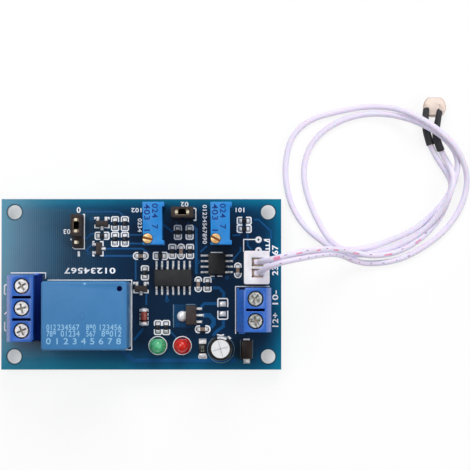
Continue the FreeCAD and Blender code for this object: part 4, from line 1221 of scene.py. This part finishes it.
# Headers, jumper caps and plug
for name in ("mode", "delay"):
    softened(f"{name}_header_base", "black", 0.08, name=f"{name}_header_foot")
    softened(f"{name}_jumper_cap", "black", 0.1, f"{name}_jumper", name=f"{name}_cap")
softened("sensor_header_shroud", "nylon", 0.12, name="plug_shroud")


def crimp_pieces():
    """Crimp barrels and sheath ends that show in the plug's two windows."""
    form = bmesh.new()
    stubs = bmesh.new()
    foot = 9.9
    for pin_y in (5.0, 2.5):
        outline = [
            (27.8, pin_y + 0.8), (25.75, pin_y + 0.8), (25.42, pin_y + 0.45),
            (25.42, pin_y - 0.45), (25.75, pin_y - 0.8), (27.8, pin_y - 0.8)]
        add_ribbon(form, outline, 0.2, foot, window_top - 0.25)
        rows = []
        for height, inset in ((foot, 0.0), (window_top - 0.55, 0.0), (window_top - 0.2, 0.12),
                              (window_top - 0.1, 0.4)):
            rows.append([mm(x, y, height) for x, y in (
                (25.58 + inset, pin_y - 0.42 + inset / 2), (25.82 + inset, pin_y - 0.66 + inset),
                (27.8, pin_y - 0.66 + inset), (27.8, pin_y + 0.66 - inset),
                (25.82 + inset, pin_y + 0.66 - inset), (25.58 + inset, pin_y + 0.42 - inset / 2))])
        add_ring_rows(stubs, rows)
    kept("crimp_barrels", form, "crimp")
    kept("sheath_stubs", stubs, "sheath", smooth=50)


window_top = top_of("sensor_plug_housing")
crimp_pieces()


# Chips, diodes and other small parts
for node, material, width in (
        ("timer_chip_body", "epoxy", 0.07), ("comparator_chip_body", "epoxy", 0.07),
        ("regulator_body", "brown_epoxy", 0.09), ("transistor_bodies", "brown_epoxy", 0.05),
        ("input_diode_body", "dark_epoxy", 0.1), ("chip_resistor_bodies", "chip_glaze", 0.03),
        ("chip_capacitor_bodies", "ceramic", 0.05), ("chip_end_caps", "solder", 0.05)):
    softened(node, material, width)


def lens_piece(node, x, y, material):
    """A domed lens on a flange that has one flat."""
    foot = foot_of(node)
    height = 5.3
    radius = 1.5
    flat = 1.55
    dome_foot = foot + height - radius
    profile = [(1.88, foot), (1.9, foot + 0.05), (1.9, foot + 0.92), (1.84, foot + 1.0),
               (1.52, foot + 1.0), (radius, foot + 1.06), (radius, dome_foot)]
    for k in range(1, 9):
        a = math.pi / 2 * k / 9
        profile.append((radius * math.cos(a), dome_foot + radius * math.sin(a)))
    profile.append((0.03, foot + height))
    form = bmesh.new()
    add_turned(form, x, y, profile, 40)
    for vert in form.verts:
        if vert.co.z < (foot + 1.03) * MM and vert.co.y > (y + flat) * MM:
            vert.co.y = (y + flat) * MM
    piece = kept(node.replace("_lens", "_lamp"), form, material, smooth=40)
    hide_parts(node)


for (x, y), colour in zip(leds, ("green", "red")):
    lens_piece(f"{colour}_led_lens", x, y, f"{colour}_lens")


def capacitor_pieces():
    """An upright can in a black sleeve with a pressed groove near its foot."""
    x = 18.17
    y = -14.45
    height = 11.0
    foot = board_top
    top = foot + height
    sleeve = bmesh.new()
    profile = [(2.1, foot + 0.01), (2.6, foot + 0.05), (2.68, foot + 0.2), (2.68, foot + 1.25),
               (2.6, foot + 1.5), (2.56, foot + 1.7), (2.6, foot + 1.9), (2.68, foot + 2.15),
               (2.68, top - 0.35), (2.62, top - 0.12), (2.48, top), (2.3, top + 0.01),
               (2.13, top - 0.03), (2.08, top - 0.14)]
    add_ring_rows(sleeve, level_rings(x, y, profile, 48), closed_ends=False)
    piece = kept("capacitor_jacket", sleeve, "can_sleeve", smooth=50)
    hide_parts("capacitor_sleeve")
    stripe = bmesh.new()
    edge = ((2.692, foot + 2.3), (2.692, top - 0.35), (2.634, top - 0.11), (2.49, top + 0.013),
            (2.3, top + 0.018))
    steps = 10
    stripe_from = 58
    stripe_turn = 48
    columns = []
    for k in range(steps + 1):
        turn = stripe_from + stripe_turn * k / steps
        column = [mm(*turned_point(r, 0, x, y, turn), z) for r, z in edge]
        columns.append([stripe.verts.new(p) for p in column])
    for one, two in zip(columns, columns[1:]):
        for k in range(len(one) - 1):
            stripe.faces.new((one[k], two[k], two[k + 1], one[k + 1]))
    kept("capacitor_stripe", stripe, "stripe", smooth=50)
    # The vent: a scored cross in the can's top
    form = bmesh.new()
    for turn in (17, 107):
        score = turned_points([(-1.75, 0), (1.75, 0)], x, y, turn)
        add_ribbon(form, score, 0.16, top - 0.19, top - 0.165)
    kept("capacitor_score", form, "pad")


capacitor_pieces()


def small_diode_piece():
    """A glass tube with a dark band at its lower end."""
    x = 0.62
    y = -7.47
    z = board_top + 0.75
    form = bmesh.new()
    ring = circle(0.712, 24)
    add_ring_rows(form, [[mm(x + u, y + at, z + v) for u, v in ring] for at in (-0.98, -0.62)],
                  closed_ends=False)
    kept("clamp_diode_band", form, "dark_band", smooth=50)


small_diode_piece()


# Floor, world and lamps
floor_top = -0.01
floor_depth = 5.0
floor_half = 3000


def add_floor():
    """A pale floor that the camera sees as nearly white."""
    form = bmesh.new()
    add_box(form, -floor_half, floor_half, -floor_half, floor_half, -floor_depth, floor_top)
    mesh = bpy.data.meshes.new("floor")
    form.to_mesh(mesh)
    form.free()
    material = bpy.data.materials.new("pale floor")
    material.use_nodes = True
    tree = material.node_tree
    tree.nodes.clear()
    out = tree.nodes.new("ShaderNodeOutputMaterial")
    matt = tree.nodes.new("ShaderNodeBsdfDiffuse")
    set_inputs(tree, matt, Color=(0.95, 0.95, 0.95, 1))
    glow = tree.nodes.new("ShaderNodeEmission")
    set_inputs(tree, glow, Strength=1.0)
    path = tree.nodes.new("ShaderNodeLightPath")
    mix = tree.nodes.new("ShaderNodeMixShader")
    seen = add_math(tree, "MAXIMUM", path.outputs["Is Camera Ray"], path.outputs["Is Glossy Ray"])
    seen = add_math(tree, "MAXIMUM", seen, path.outputs["Is Transmission Ray"])
    # The glow that keeps the floor white is weaker under the board.
    glow_share = 0.82
    less_below = 0.42
    place = object_place(tree)
    axes = components(tree, place)
    inside = []
    for axis, reach in (("X", 0.0315), ("Y", 0.019)):
        distance = add_math(tree, "ABSOLUTE", axes[axis], 0)
        inside.append(add_math(tree, "LESS_THAN", distance, reach))
    below = product(tree, *inside)
    share = difference(tree, glow_share, product(tree, below, less_below))
    feed(tree, zip(mix.inputs, (product(tree, seen, share), matt.outputs[0], glow.outputs[0])))
    set_inputs(tree, out, Surface=mix.outputs[0])
    mesh.materials.append(material)
    placed("floor", mesh)


def add_lamp(name, place, aim, width, height, watts):
    """A rectangular lamp at a place, turned to the point that it lights."""
    lamp = bpy.data.lights.new(name, "AREA")
    lamp.shape = "RECTANGLE"
    lamp.size = width * MM
    lamp.size_y = height * MM
    lamp.energy = watts
    holder = placed(name, lamp)
    holder.location = mm(*place)
    way = mm(*aim) - holder.location
    holder.rotation_euler = way.to_track_quat("-Z", "Y").to_euler()


add_floor()
world = bpy.data.worlds.new("studio")
scene.world = world
world.use_nodes = True
sky = world.node_tree
set_inputs(sky, sky.nodes["Background"], Color=(1, 1, 1, 1), Strength=0.13)
add_lamp("left_softbox", (-292, 186, 520), (-292, 186, 0), 434, 428, 1.95)
add_lamp("back_softbox", (120, 560, 480), (20, 0, 0), 420, 300, 2.9)
add_lamp("right_fill", (500, -160, 420), (20, 5, 0), 300, 420, 1.8)
